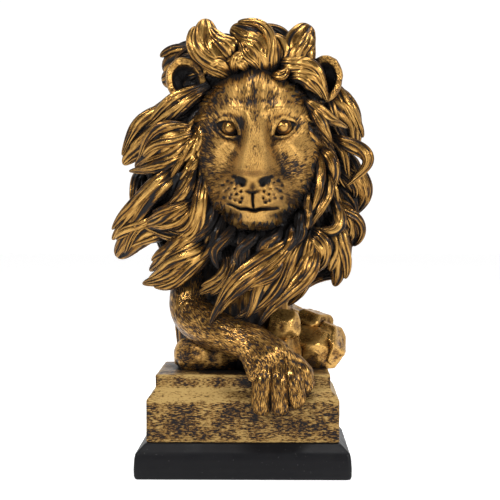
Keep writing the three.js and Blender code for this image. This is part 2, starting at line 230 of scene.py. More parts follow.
def softened(grid, reach):
    """Each value replaced by the mean of its neighbours within reach rows and columns."""
    total = np.zeros_like(grid)
    padded = np.pad(grid, reach, mode="edge")
    rows, columns = grid.shape
    steps = range(0, 2 * reach + 1, max(1, reach // 2))
    for i in steps:
        for j in steps:
            total += padded[i:i + rows, j:j + columns]
    return total / len(steps) ** 2


class Clay:
    """Closed surfaces that become one mesh, each a grid of rings with a point closing each end."""

    def __init__(self):
        self.count = 0
        self.points, self.hollows = [], []
        self.quads, self.quad_flows = [], []
        self.ends, self.end_flows = [], []

    def add(self, grid, hollow, wide=10.0, long=10.0, flow=None):
        """Adds rings (rows, columns, 3), counter-clockwise seen from the last one to the first.

        hollow is 0 where the gold is rubbed and 1 in a furrow; the pieces also put painted shade
        and painted highlights into it. The flow map runs `wide` round the rings and `long` along
        them, or is given for each point, in the units of the grid.
        """
        rows, columns = grid.shape[:2]
        i, j = np.meshgrid(np.arange(rows - 1), np.arange(columns), indexing="ij")
        after = (j + 1) % columns
        quads = np.stack([i * columns + j, i * columns + after,
                          (i + 1) * columns + after, (i + 1) * columns + j], -1)
        across = np.stack([j, j + 1, j + 1, j], -1) * (wide / columns)
        along = np.stack([i, i, i + 1, i + 1], -1) * (long / (rows - 1))
        ring = np.arange(columns)
        turn = (ring + 1) % columns
        first = np.full(columns, rows * columns)
        last_row = (rows - 1) * columns
        caps = np.concatenate([np.stack([first, turn, ring], -1),
                               np.stack([first + 1, last_row + ring, last_row + turn], -1)])
        cap_across = np.stack([ring + 0.5, ring + 1, ring], -1) * (wide / columns)
        cap_along = np.concatenate([np.zeros((columns, 3)), np.full((columns, 3), long)])
        self.points += [grid.reshape(-1, 3), grid[0].mean(0)[None], grid[-1].mean(0)[None]]
        self.hollows += [np.broadcast_to(hollow, (rows, columns)).ravel(),
                         [np.mean(hollow)], [np.mean(hollow)]]
        self.quads.append(quads.reshape(-1, 4) + self.count)
        even = np.stack([across, along], -1).reshape(-1, 2)
        self.quad_flows.append(even if flow is None else flow.reshape(-1, 2)[quads.ravel()])
        self.ends.append(caps + self.count)
        both = np.concatenate([cap_across, cap_across])
        self.end_flows.append(np.stack([both, cap_along], -1).reshape(-1, 2))
        self.count += rows * columns + 2

    def piece(self, name, material, slot="antique_gold", stands_for="lion_casting"):
        """Makes the mesh, in metres, and its object at the origin, riding on the one body."""
        quads, ends = np.concatenate(self.quads), np.concatenate(self.ends)
        corners = np.concatenate([quads.ravel(), ends.ravel()]).astype(np.int32)
        totals = np.concatenate([np.full(len(quads), 4), np.full(len(ends), 3)])
        starts = np.concatenate([[0], np.cumsum(totals)[:-1]]).astype(np.int32)
        points = np.concatenate(self.points) * MM
        mesh = bpy.data.meshes.new(name)
        mesh.vertices.add(len(points))
        mesh.vertices.foreach_set("co", points.astype(np.float32).ravel())
        mesh.loops.add(len(corners))
        mesh.loops.foreach_set("vertex_index", corners)
        mesh.polygons.add(len(starts))
        mesh.polygons.foreach_set("loop_start", starts)
        mesh.polygons.foreach_set("use_smooth", np.ones(len(starts), bool))
        mesh.update(calc_edges=True)
        flow = np.concatenate(self.quad_flows + self.end_flows) * MM
        mesh.uv_layers.new(name="flow").data.foreach_set("uv", flow.astype(np.float32).ravel())
        hollow = mesh.attributes.new("hollow", "FLOAT", "POINT")
        hollow.data.foreach_set("value", np.concatenate(self.hollows).astype(np.float32))
        mesh.materials.append(material)
        if mesh.validate():
            raise RuntimeError(f"{name} has faulty faces")
        obj = bpy.data.objects.new(name, mesh)
        bpy.context.scene.collection.objects.link(obj)
        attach(obj, "root")
        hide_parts(stands_for)
        return obj


# Places


def step_top():
    """Height of the step's top face, in millimetres."""
    s = sizes()
    return (s.plinth_height + s.block_height + s.slope_height + s.step_height) / MM


def share():
    """One share of the lion's height, in millimetres."""
    return sizes().lion_height / MM / SHARES


def placed(grid):
    """Shares of the figure, [right, back, up] from its point on the step, as millimetres."""
    front = -(sizes().plinth_depth / 2 - sizes().block_margin) / MM
    origin = np.array([0.0, front + FIGURE_BACK * share(), step_top()])
    return np.asarray(grid, float) * share() + origin


# Head

FACE = {"x": 9.0, "y": -14.0, "eyes": 171.0, "top": 44.0, "chin": -76.0, "wide": 46.0,
        "deep": 34.0}
EYE = {"side": 17.9, "up": -1.6, "forward": 24.9, "radius": 6.1}


def face_rise(b):
    """1 half way up the face and 0 at its crown and chin."""
    middle = (FACE["top"] + FACE["chin"]) / 2
    high = (FACE["top"] - FACE["chin"]) / 2
    return np.clip(1 - np.abs((b - middle) / high) ** 2.4, 0, 1)


def face_half(b):
    """Half the face's width before it rounds off, narrower above the eyes."""
    return FACE["wide"] - 9 * ramp(b, 0, 50)


def face_outline(b):
    """Half the width of the bare head at a height b: a squarish oval."""
    return face_half(b) * face_rise(b) ** (1 / 2.2)


def eye_opening(s, b):
    """How far a place is outside the eye's opening (negative inside), and how far across and along
    it: a high arch for the upper lid, a flat one for the lower, and the inner corner low."""
    across, along = rotated(b + 3.2, s - 19.6, 29)
    t = np.clip(along / 8.4, -1.3, 1.3)
    upper = 4.5 * np.clip(1 - np.abs(t - 0.05) ** 2.4, -0.3, None)
    lower = 3.3 * np.clip(1 - t ** 2, -0.3, None)
    return np.abs(across) - np.where(across > 0, upper, lower), across, np.abs(t)


def nostrils(s, b):
    """1 inside a nostril: a round hollow that draws out upwards and aside into a slit."""
    round_part = swell(s, b, 8.2, -39.2, 4.2, 2.7, 24, 3.0)
    return np.maximum(round_part, 0.9 * swell(s, b, 11.6, -36.8, 2.8, 1.4, 28, 2.4))


def nose_lean(a, b):
    """The place beside the middle line, counted from the nose, which leans to the viewer's left."""
    return a + 1.9 * ramp(-b, 14, 38) * (1 - ramp(-b, 52, 66))


def face_relief(a, b):
    """How far the face stands forward of its middle plane, a beside its middle line and b above
    the line of the eyes: a dome with swellings and furrows added one by one."""
    c = nose_lean(a, b)
    s = np.hypot(c, 0.8)
    wide = np.maximum(face_outline(b), 1e-6)
    f = FACE["deep"] * face_rise(b) ** 0.55 * np.clip(1 - np.abs(a / wide) ** 2.2, 0, 1) ** 0.55
    # forehead and brows
    f += 3.0 * swell(s, b, 17, 21, 11, 10) - 2.0 * swell(s, b, 0, 20, 3.2, 16)
    f += 5.6 * swell(s, b, 17.5, 10.0, 11, 5.4, 4)
    # eye sockets
    f -= 6.5 * swell(s, b, 19.5, -2, 10.5, 7.5, 20)
    f -= 2.6 * swell(s, b, 12.5, -10, 4.0, 5.5, -30)
    # bridge of the nose, broad and flat, rising forward to the nose
    half = 8.6 + 5.8 * ramp(-b, 2, 36)
    rise = 4 + 20 * ramp(-b, -20, 38)
    f += rise / (1 + (s / half) ** 5) * (1 - ramp(-b, 35, 45))
    # muzzle with its two pads, and the narrower chin
    muzzle = 24 - 6.5 * ramp(-b, 56, 63)
    f += 27 * np.exp(-(s / muzzle) ** 3.2) * ramp(-b, 32, 45) * (1 - ramp(-b, 66, 77))
    f += 10.0 * swell(s, b, 11, -47.5, 9, 8.2, 0, 2.4)
    f += 5 * swell(s, b, 0, -66, 12.5, 8, 0, 2.8)
    # cheek bones, the bags under the eyes and the creases beside the nose
    f += 3.2 * swell(s, b, 25, -17, 9, 8, -20) + 1.8 * swell(s, b, 21, -13.5, 6, 3.2, 24)
    f -= (0.4 + 2.6 * ramp(a, -2, 2)) * swell(s, b, 18, -23, 4.6, 12, 12)
    f -= 1.0 * seam(s, b, (11.5, -9), (10.5, -15), 1.6)
    f -= (0.1 + 0.8 * ramp(a, 0, 3)) * seam(s, b, (10.5, -16), (20, -31), 2.0)
    # leather of the nose, nostrils, the slit under the nose and the mouth
    f += 1.1 * np.exp(-((b + 33.4) / 1.5) ** 2) * (1 - ramp(s, 11, 16))
    f -= 7.0 * nostrils(s, b)
    f -= 1.6 * seam(s, b, (12.5, -42.5), (1.8, -47.0), 1.0)
    f -= 2.8 * np.exp(-(c / 0.8) ** 2) * ramp(-b, 46, 48) * (1 - ramp(-b, 56, 58.5))
    mouth = -57.6 - 1.3 * (1 - ramp(s, 0, 6)) + 0.8 * ramp(a, 10, 18) + 3.2 * ramp(-a, 9, 19)
    f -= 5.0 * np.exp(-((b - mouth) / 1.0) ** 2) * (1 - ramp(s, 14.5, 20))
    # whisker pits, four uneven rows on each pad
    for row in range(4):
        for k in range(4):
            luck = chance(np.array([5 * row + k, 5 * row + k + 0.5]))
            aside = 6.6 + 3.7 * k + 1.4 * (row % 2) + 0.7 * luck[0]
            high = -42.8 - 3.6 * row + 1.3 * k + 0.7 * luck[1]
            f -= 3.6 * swell(s, b, aside, high, 1.5 + 0.3 * luck[1], 1.3)
    # lids round a hollow that the eyeball fills
    gap, across, far = eye_opening(s, b)
    inside = 1 - ramp(gap, -0.8, 0.4)
    ends = 1 - ramp(far, 1.05, 1.25)
    floor = np.minimum(f, 24.0)
    f = f * (1 - inside) + floor * inside
    f += 0.6 * np.exp(-((gap - 0.7) / 0.5) ** 2) * (1 - inside) * ends
    f += 2.0 * np.exp(-((gap - 1.8) / 2.4) ** 2) * (across > 0) * (1 - inside) * ends
    f -= 0.35 * np.exp(-((gap - 4.4) / 0.7) ** 2) * (across > 0) * ends
    f -= 0.7 * np.exp(-((gap - 2.7) / 0.8) ** 2) * (across < 0) * ends
    return np.maximum(f, 0)


def fur_flow(a, b):
    """Where a place is round the nose and how far out, as an angle and a logarithm times 56: both
    grow alike, so hairs drawn along the second one keep their shape all over the face."""
    reach = np.hypot(a, b + 40) + 14
    return np.stack([56 * np.arctan2(a, b + 40), 56 * np.log(reach / 20)], -1)


def fur_strokes(a, b):
    """Short hairs that lie away from the nose: noise squeezed across its rays and long on them."""
    flow = np.concatenate([fur_flow(a, b), 0 * a[..., None]], -1)
    fine = drift(flow / [1.0, 2.8, 1.0], 3.0)
    broad = drift(flow / [2.2, 5.0, 1.0] + 4.0, 8.0)
    return 0.6 * fine + 0.4 * broad


# Patches on the face, each a swelling: how much blacker it is (below 0, more golden), and
# whether it is counted from the middle, on both sides alike, from the leaning nose or both. The
# golden ones on the brows, the bridge and the ridge of the nose, the pads, the right cheek and
# the bags under the eyes are painted highlights; those on the chin and beside the nose on the
# left lift the black there. The dark ones are the forehead's middle furrow, a crease on the
# right cheek and the eyes' outer corners.
FACE_PAINTED_LIGHT_AND_WASH = [
    (1.5, "middle", -2, 22, 3.2, 12), (0.8, "middle", 21, -24, 7, 9, 20),
    (-0.8, "sides", 16, 20, 9, 6), (-2.2, "sides", 18, 9, 10, 5),
    (-1.3, "middle", 0, -20, 12, 15), (-2.0, "middle", 0, -67, 26, 12),
    (-0.9, "middle", 29, -12, 12, 14), (-1.6, "middle", -17, -24, 7, 12),
    (-1.6, "nose", 0, -33.5, 13, 2.5), (-1.0, "nose sides", 10, -47, 9, 6),
    (-1.0, "sides", 21, -13.5, 6, 3.5, 24), (0.8, "sides", 30, 0, 6, 6),
]


def add_head(clay):
    """The bare head: rows from chin to crown, columns across the face and round a plain back.

    The colour map takes more black where a place is lower than its surroundings, between hairs
    and in patches that drift over the brow, the temples and the creases of the cheeks. It is
    darker towards the crown, and it paints light and shade: highlights on the brows, the nose,
    the pads and the cheeks, and shade towards the face's edges and over the viewer's left half.
    """
    rows, front_columns, back_columns = 324, 250, 20
    t = np.linspace(-1, 1, front_columns, endpoint=False)
    back = np.linspace(1, -1, back_columns, endpoint=False)
    b = np.linspace(FACE["chin"] + 0.15, FACE["top"] - 0.15, rows)[:, None]
    wide = face_outline(b)
    a = wide * (0.75 * t + 0.25 * t ** 3)
    b_front = np.broadcast_to(b, a.shape)
    c = nose_lean(a, b_front)
    relief = face_relief(a, b_front)
    strokes = fur_strokes(a, b_front)
    leather = (1 - ramp(np.abs(c) + 1.15 * np.maximum(-(b + 36), 0), 12, 14)) * (
        ramp(-b, 31.5, 33.5) * (1 - ramp(-b, 44, 47)))
    gap = eye_opening(np.abs(c), b_front)[0]
    bare = np.clip(leather + 1 - ramp(gap, 1.5, 3), 0, 1)
    relief = relief + 0.30 * strokes * (1 - bare) * ramp(relief, 4, 12)
    crease = np.clip(softened(relief, 8) - relief, -0.7, 1.3)
    crease = crease * (1 - 0.9 * swell(c, b_front, 0, -33, 15, 4, 0, 4))
    crease = crease * (1 - 0.6 * ramp(-b, 60, 68))
    place = spread(a, b_front, 0.0)
    patches = drift(place / 13.0, 5.0) + 0.7 * drift(place / 5.0, 6.0)
    # Painted shade towards the face's edges, most on the viewer's left, and over the viewer's left
    # half; the face is also darker towards the crown.
    patches += (0.7 - 0.5 * ramp(a, 0, 5)) * ramp(np.abs(a) / wide, 0.7, 0.97)
    patches += 1.6 * ramp(b_front, 25, 40) + 1.3 * ramp(-a, 8, 36)
    beside = {"middle": a, "sides": np.abs(a), "nose": c, "nose sides": np.abs(c)}
    # The table's patches: painted highlights, and darker creases and eye corners.
    for amount, side, *where in FACE_PAINTED_LIGHT_AND_WASH:
        patches += amount * swell(beside[side], b, *where)
    # These patches, painted light and shade among them, go into the colour map, except on the
    # nose's leather.
    wash_and_shade = 0.22 * np.clip(patches, -1.0, 1.6) * (1 - leather)
    front_hollow_and_painted_light = np.clip(0.36 + 0.38 * crease - 0.34 * strokes * (1 - bare) + wash_and_shade, 0, 1)
    front_hollow_and_painted_light = np.maximum(front_hollow_and_painted_light, 0.85 * (1 - ramp(gap, -0.8, 0.4)))
    front_hollow_and_painted_light = np.maximum(front_hollow_and_painted_light, ramp(nostrils(np.abs(c), b_front), 0.25, 0.6))
    grid_front = spread(FACE["x"] + a, FACE["y"] - relief, FACE["eyes"] + b_front)
    a_back = wide * back
    depth = 14 * np.sqrt(np.clip(1 - back ** 2, 0, 1)) * (wide / FACE["wide"])
    b_back = np.broadcast_to(b, a_back.shape)
    grid_back = spread(FACE["x"] + a_back, FACE["y"] + depth, FACE["eyes"] + b_back)
    grid = np.concatenate([grid_front, grid_back], 1)
    hollow = np.concatenate([front_hollow_and_painted_light, np.ones_like(a_back)], 1)
    flow = np.concatenate([fur_flow(a, b_front), fur_flow(a_back, b_back)], 1)
    clay.add(placed(grid), hollow, flow=flow)


def add_eyeball(clay, hand):
    """An eyeball: a sphere about the line of sight with a shallow ring round the iris."""
    v = np.linspace(0.02, 0.98, 36)[:, None]
    u = full_turn(48)
    fall = np.pi * v
    ring = 0.12 * np.exp(-((fall - 2.45) / 0.12) ** 2)
    radius = EYE["radius"] - ring
    x = radius * np.sin(fall) * np.cos(u)
    z = radius * np.sin(fall) * np.sin(u)
    y = -radius * np.cos(fall)
    middle = np.array([FACE["x"] + hand * EYE["side"] + 0.4, FACE["y"] - EYE["forward"],
                       FACE["eyes"] + EYE["up"] + 0.3 * hand])
    iris = np.exp(-((np.hypot(x, z) - 4.1) / 0.6) ** 2)
    # Darker at the iris's ring, and over the ball's top: painted shadow of the upper lid.
    hollow = 0.22 + 0.45 * iris + 0.35 * ramp(z, 1.5, 4.5)
    clay.add(placed(spread(-x, y, z) + middle), hollow, 40, 16)


# Hair


def strand(clay, path, across, up, half_wide, half_thick, seed, sides=40, lobes=5, carved=1.0,
           shade_and_tone=0.0):
    """A lock's body: an oval ring carried along a path and carved lengthwise.

    Round ridges stand between narrow furrows, |cos| of an angle that counts them unevenly and
    turns slowly along the path. Finer grooves are cut where noise, drawn out along the path,
    rises over a level.
    """
    theta, along = full_turn(sides), run_along(path)
    share_run = along / along[-1, 0]
    girth = max(half_wide.max() + half_thick.max(), 1.0) / 2
    luck = chance(np.array([seed, seed + 0.25, seed + 0.5]))
    turned = theta + 0.8 * luck[0] * share_run + 0.22 * np.sin(along / 10.0 + 5.0 * luck[1])
    sway = drift(spread(1.3 * np.cos(theta), 1.3 * np.sin(theta), along / 12.0), 17.0 * seed)
    uneven = 0.7 * np.sin(2 * turned + 3 * luck[2])
    ridge = np.abs(np.cos(0.5 * lobes * turned + uneven + 0.9 * sway))
    furrow = (1 - ramp(ridge, 0.0, 0.8)) * carved
    lines = drift(spread(turned * girth / 0.9, along / 13.0, 0.0), 31.0 * seed)
    groove = ramp(lines, 0.25, 0.55) * carved
    sprung = 0.55 * (1 - ramp(share_run, 0.02, 0.2))
    cut = (1.2 * furrow + 0.45 * groove) * np.minimum(half_thick[:, None] / 3.5, 1.0)
    rings = oval_rings(path, across, up, half_wide[:, None] - cut, half_thick[:, None] - cut, theta)
    # Colour: black in the furrows and grooves and darker near the root; darker too on the sides and
    # underside than on the outward face, partly the rubbed tops of the finish and partly painted
    # shade; a lock's own darkening adds painted shade for locks lying under others and a random
    # tone for the fringe hairs.
    hollow = shade_and_tone + sprung + 0.38 - 0.32 * np.sin(theta) + 0.58 * furrow + 0.24 * groove
    hollow = np.clip(hollow + 0.2 * sway, -0.1, 1)
    clay.add(placed(rings), hollow, 2 * np.pi * girth, along[-1, 0])


def lock(clay, start, end, bow=0.0, curl=0.0, belly=5.0, wide=10.0, thick=None, out=(0, -1, 0),
         seed=0.0, shade_and_tone=0.0, sunk=5.0, rows=34, plain=False, hook=0.0, tip=0.45, count=None):
    """A lock of hair: a broad body and narrower ones that lie on it, all on one bent path.

    The path is the straight line plus bow times sin(pi t) and curl times sin(2 pi t) sideways and
    belly times sin(pi t) outwards. Its root is sunk in what it grows from, and its tip turns up by
    hook. A body swells from its root, narrows again to the share tip and closes round. The count
    narrower ones, one for each 8 of its width unless given, wander along it and end before it.
    """
    start, end = np.array(start, float), np.array(end, float)
    outward = unit(np.array(out, float))
    side = unit(np.cross(outward, end - start))
    width = 1.22 * wide
    depth = 0.5 * width + 3 if thick is None else thick
    count = 0 if plain else int(round(width / 8)) if count is None else count
    bodies = [(0.0, 1.0, 0.0, 1.0)]
    for k in range(count):
        place = 0.0 if count == 1 else -1 + 2 * k / (count - 1)
        luck = float(chance(seed * 7.3 + k))
        bodies.append((place, 1.3 / max(count, 2), 0.36 + 0.16 * luck, 0.95 - 0.2 * abs(luck)))
    for k, (place, part, lift, stop) in enumerate(bodies):
        luck = float(chance(seed * 3.1 + k + 20))
        fine = 1 - (1 - np.linspace(0, 1, rows)) ** 1.6
        t = fine * stop
        swing = (bow * np.sin(np.pi * t) + curl * np.sin(2 * np.pi * t))[:, None]
        rise = (belly * np.sin(np.pi * t) - sunk * (1 - ramp(t, 0, 0.22)))[:, None]
        middle = start + (end - start) * t[:, None] + side * swing + outward * rise
        middle[:, 2] += hook * ramp(t, 0.6, 1.1)
        across, up = frame_along(middle, outward)
        full = (0.5 + 0.5 * ramp(t, 0, 0.35)) * (1 - (1 - tip) * ramp(t, 0.4, 1.0))
        wander = place * (0.58 + 0.1 * luck) + 0.32 * np.sin(np.pi * (1.9 * t + luck)) * (k > 0)
        path = middle + across * (width / 2 * full ** 0.7 * wander)[:, None]
        path = path + up * (depth / 2 * full * lift)[:, None]
        blunt = np.sqrt(np.clip(1 - fine ** 9, 0.003, 1))
        half_wide = np.maximum(width / 2 * full * part, 1.0) * blunt
        half_thick = np.maximum(depth / 2 * full * (0.95 if k == 0 else 0.75), 1.0) * blunt
        lobes = int(np.clip(round((half_wide.max() + half_thick.max()) / 1.55), 3, 9))
        strand(clay, path, across, up, half_wide, half_thick, seed + 11 * k, max(7 * lobes, 28),
               lobes, shade_and_tone=shade_and_tone)


# Locks that lie behind the others carry a painted darkening: painted shade.
TOP_LOCKS = [
    dict(start=(-3, -22, 206), end=(-27, -18, 246.5), bow=8, wide=20, tip=0.7, count=2),
    dict(start=(17, -27, 205), end=(-9, -24, 239), bow=-7, wide=23, thick=15, tip=0.6),
    dict(start=(24, -10, 210), end=(2, -6, 243), bow=-7, wide=18, shade_and_tone=0.2),
    dict(start=(38, -22, 206), end=(46, -18, 242), bow=4, wide=21, thick=13, tip=0.72, count=1),
    dict(start=(-16, -6, 208), end=(-57, 2, 211), bow=-10, wide=24, tip=0.75, shade_and_tone=0.1),
    dict(start=(-20, -2, 202), end=(-59, 4, 206), bow=-3, wide=18, tip=0.8, shade_and_tone=0.2, count=1),
    dict(start=(-8, -28, 206), end=(-28, -24, 207), bow=-8, wide=8),
    dict(start=(27, -27, 205), end=(58, -23, 188), bow=10, wide=12),
    dict(start=(24, -26, 211), end=(50, -22, 219), bow=-2, wide=10),
    dict(start=(2, -18, 206), end=(-15, -14, 236), bow=-3, wide=16, shade_and_tone=0.1),
    dict(start=(26, -20, 206), end=(6, -20, 232), bow=-7, wide=13),
    dict(start=(-6, -29, 207), end=(6, -30, 222), bow=4, wide=8),
    dict(start=(18, -30, 205), end=(32, -29, 213), bow=-4, wide=7),
    dict(start=(4, -30, 208), end=(-14, -29, 214), bow=-4, wide=7),
]

LEFT_LOCKS = [
    dict(start=(-24, -22, 200), end=(-80, -2, 159), bow=-1, wide=11),
    dict(start=(-32, -12, 192), end=(-87, 4, 142), bow=-4, wide=22, thick=15),
    dict(start=(-32, -27, 169), end=(-77, -6, 139), bow=-5, wide=18, thick=12),
    dict(start=(-35, -28, 156), end=(-82, -4, 137), bow=2, wide=9),
    dict(start=(-42, -22, 145), end=(-95, 4, 88), bow=-3, wide=14),
    dict(start=(-34, -33, 144), end=(-65, -16, 108), bow=8, wide=9),
    dict(start=(-25, -36, 135), end=(-73, -12, 99), bow=21, curl=-3, wide=11),
    dict(start=(-33, -33, 120), end=(-73, -10, 98), bow=2, wide=11),
    dict(start=(-50, -10, 112), end=(-92, 8, 79), bow=-3, wide=19, hook=0.0, tip=0.7),
    dict(start=(-26, -27, 100), end=(-67, -8, 66), bow=-3, wide=13),
    dict(start=(-19, -29, 90), end=(-72, -10, 57), bow=3, wide=14),
    dict(start=(-12, -30, 92), end=(-32, -20, 50), bow=10, curl=2, wide=11),
    dict(start=(-4, -32, 88), end=(-21, -26, 53), bow=6, wide=8),
]

CHIN_LOCKS = [
    dict(start=(-14, -30, 112), end=(-30, -32, 78), bow=5, wide=8),
    dict(start=(-6, -34, 106), end=(-17, -37, 72), bow=-4, curl=3, wide=8),
    dict(start=(2, -36, 102), end=(-10, -40, 66), bow=5, curl=-2, wide=8),
    dict(start=(10, -38, 102), end=(0, -42, 70), bow=-5, curl=3, wide=7),
    dict(start=(18, -38, 101), end=(6, -43, 74), bow=5, wide=8),
    dict(start=(25, -37, 103), end=(14, -43, 76), bow=-3, curl=3, wide=8),
    dict(start=(33, -35, 106), end=(22, -42, 80), bow=5, wide=8),
    dict(start=(40, -32, 114), end=(30, -41, 88), bow=5, curl=-2, wide=8),
    dict(start=(-22, -28, 124), end=(-40, -28, 88), bow=8, wide=8),
]

BEARD_LOCKS = [
    dict(start=(39, -40, 97), end=(-23, -42, 34), bow=-4, curl=3, wide=11),
    dict(start=(44, -36, 97), end=(-7, -38, 37), bow=5, curl=-3, wide=10),
    dict(start=(47, -32, 96), end=(10, -38, 32), bow=7, curl=3, wide=10),
    dict(start=(49, -34, 100), end=(31, -20, 46), bow=3, curl=-3, wide=11),
    dict(start=(30, -40, 88), end=(-12, -42, 52), bow=6, curl=2, wide=9),
    dict(start=(26, -38, 70), end=(2, -42, 38), bow=-5, curl=-2, wide=8),
]

RIGHT_LOCKS = [
    dict(start=(40, -31, 190), end=(73, -14, 167), wide=8),
    dict(start=(51, -6, 201), end=(80, 8, 152), bow=7, wide=20),
    dict(start=(45, -31, 184), end=(61, -26, 156), bow=2, wide=7),
    dict(start=(58, -16, 165), end=(72, -13, 126), bow=21, curl=-3, wide=9, belly=3),
    dict(start=(52, -23, 158), end=(62, -19, 124), bow=6, wide=8),
    dict(start=(60, -19, 124), end=(43, -30, 97), bow=17, wide=8, belly=3),
    dict(start=(63, -2, 154), end=(79, 10, 106), bow=10, curl=-3, wide=17),
    dict(start=(58, -4, 124), end=(70, 8, 80), bow=9, curl=-3, wide=18),
    dict(start=(54, -20, 107), end=(64, -12, 59), bow=8, wide=14, hook=0.0, tip=0.6),
    dict(start=(42, -33, 98), end=(44, -22, 64), bow=12, wide=10),
    dict(start=(52, -22, 158), end=(44, -33, 104), bow=5, wide=6),
    dict(start=(56, -20, 146), end=(46, -32, 96), bow=6, curl=2, wide=6),
    dict(start=(46, -30, 128), end=(36, -39, 92), bow=4, curl=-2, wide=5),
    # This lock lies behind the others and is painted darker: painted shade.
    dict(start=(60, 4, 142), end=(79, 14, 100), bow=6, wide=14, shade_and_tone=0.2, count=0),
]

# Name, locks, how far their tips turn up, and how much darker they are painted: painted shade for
# the beard and the hair under the chin, and a painted lift of light for the forelock on top
LOCK_GROUPS = [
    ("forelock", TOP_LOCKS, 0.0, -0.12), ("mane_left", LEFT_LOCKS, 4.0, 0.0),
    ("beard", BEARD_LOCKS, 0.0, 0.12), ("chin_hair", CHIN_LOCKS, 0.0, 0.35),
    ("mane_right", RIGHT_LOCKS, 4.0, 0.0),
]

MANE = {"middle": (1.0, 10.0, 135.0), "half": (68.0, 44.0, 80.0), "power": 2.8}
CORE = {"middle": (1.0, 14.0, 135.0), "half": (63.0, 40.0, 76.0), "power": 2.8}
LOWEST_TIP = 62  # below it the mane has no surface for a tip to lie on


def mane_surface(angle, up):
    """A place on the mane's mass at an angle round it (0 right, 90 its back) and a height: the
    squarish ellipsoid |x/a|^n + |y/b|^n + |z/c|^n = 1."""
    n = MANE["power"]
    rise = abs((up - MANE["middle"][2]) / MANE["half"][2]) ** n
    reach = min(max(1 - rise, 0.02), 1.0) ** (1 / n)
    c, s = np.cos(np.radians(angle)), np.sin(np.radians(angle))
    round_off = (abs(c) ** n + abs(s) ** n) ** (-1 / n)
    return np.array([MANE["middle"][0] + MANE["half"][0] * reach * round_off * c,
                     MANE["middle"][1] + MANE["half"][1] * reach * round_off * s, up])


def core_front(x, z, lift=0.0):
    """The front of the mane's core straight before a place, as a whole point."""
    n = CORE["power"]
    inside = (1 - abs((x - CORE["middle"][0]) / CORE["half"][0]) ** n
              - abs((z - CORE["middle"][2]) / CORE["half"][2]) ** n)
    y = CORE["middle"][1] - CORE["half"][1] * np.maximum(inside, 0.0) ** (1 / n) - lift
    return np.array([x, y, z])


def add_under_locks(clay):
    """Locks that fill the gaps between the named ones: rings of them round the face, each running
    away from it and bending down as it goes."""
    for ring, (reach, run, count) in enumerate([(42, 34, 15), (53, 34, 17), (62, 28, 18)]):
        for i in range(count):
            luck = float(chance(ring * 40 + i))
            angle = np.radians(lerp(-218, 38, (i + 0.5 * (ring % 2)) / (count - 0.5)) + 5 * luck)
            c, s = np.cos(angle), np.sin(angle)
            x, z = 6 + 0.95 * reach * c, 146 + 1.05 * reach * s
            away = unit(np.array([c, s - 0.7]))
            run_here = run * (1 + 0.2 * luck)
            tip_x = float(np.clip(x + run_here * away[0], -64, 64))
            tip_z = float(np.clip(z + run_here * away[1], LOWEST_TIP, 208))
            # These fill gaps beneath the named locks and are painted darker: painted shade.
            lock(clay, core_front(x, z), core_front(tip_x, tip_z), bow=6 * luck, curl=2 * luck,
                 belly=4, wide=9, thick=8, seed=100 + ring * 40 + i, shade_and_tone=0.42, sunk=3.0, rows=30,
                 plain=True)


def add_fringe(clay):
    """Hairs round the edge of the face: thin strands that start on its relief, run away from the
    nose and downwards, and lie on the mane. The short ones go all the way round, and the long
    ones cover the cheeks."""
    for i in range(290):
        luck, other, third = chance(np.array([i, i + 0.5, i + 0.25]))
        long = i >= 170
        turn = lerp(-236, 56, i / 169) if not long else (
            lerp(-208, -128, (i - 170) / 59) if i < 230 else lerp(-58, 28, (i - 230) / 59))
        angle = np.radians(turn + 4 * other)
        low = max(-np.sin(angle), 0)
        inset = 0.90 + 0.09 * third - 0.05 * low
        b = -18 + 57 * np.sin(angle) * inset
        a = face_half(b) * np.cos(angle) * inset
        fall = 1.7 if long else 0.5
        away = unit(np.array([np.cos(angle), 0.8 * np.sin(angle) - fall]))
        run = 34 + 9 * luck if long else (12 + 4 * luck) * (1 + 0.5 * low)
        t = np.linspace(0, 1, 22 if long else 14)
        pa, pb = a + away[0] * run * t, b + away[1] * run * t
        bend = (0.13 * run * other + (2.5 * np.sin(np.pi * t) if long else 0.0)) * np.sin(np.pi * t)
        pa, pb = pa - away[1] * bend, pb + away[0] * bend
        depth = face_relief(pa, pb) * (1 - 0.3 * t ** 2) + 1.7 * np.sin(np.pi * t) - 1.2
        x, y, z = FACE["x"] + pa, FACE["y"] - depth, FACE["eyes"] + pb
        if long:
            y = np.minimum(y, core_front(x, z)[1] - 8.0 * np.sin(np.pi * t))
        path = spread(x, y, z)
        across, up = frame_along(path, [0.0, -1.0, 0.0])
        full = (0.35 + 0.65 * np.sin(np.pi * t ** 0.8)) * np.sqrt(np.clip(1 - t ** 5, 0.02, 1))
        thick = (2.3 if long else 1.7) + 0.5 * luck
        strand(clay, path, across, up, thick * full, 0.8 * thick * full, 200 + i, 12, 3, 0.4,
               -0.05 + 0.12 * luck)


def hanging(angle, up, drop, wander):
    """Where a lock at an angle round the mane springs from and ends, and how it stands out."""
    root = mane_surface(angle, up)
    tip = mane_surface(angle + wander, max(up - drop, LOWEST_TIP))
    tip[2] = up - drop
    return root, tip, (np.cos(np.radians(angle)), np.sin(np.radians(angle)), 0.1)


def add_back_locks(clay):
    """Rows of overlapping locks round the back of the mane, the lower rows under the upper ones."""
    for row, (up, drop, count) in enumerate([(204, 60, 4), (152, 62, 5), (104, 50, 4)]):
        for i in range(count):
            angle = lerp(18, 162, (i + (row % 2) * 0.5) / (count - 0.5))
            wander = 9 * float(chance(10 * row + i))
            root, tip, out = hanging(angle, up, drop, wander)
            lock(clay, root, tip, bow=wander, curl=-4, wide=30, thick=14, belly=5, out=out,
                 seed=row * 10 + i, rows=23, count=4)


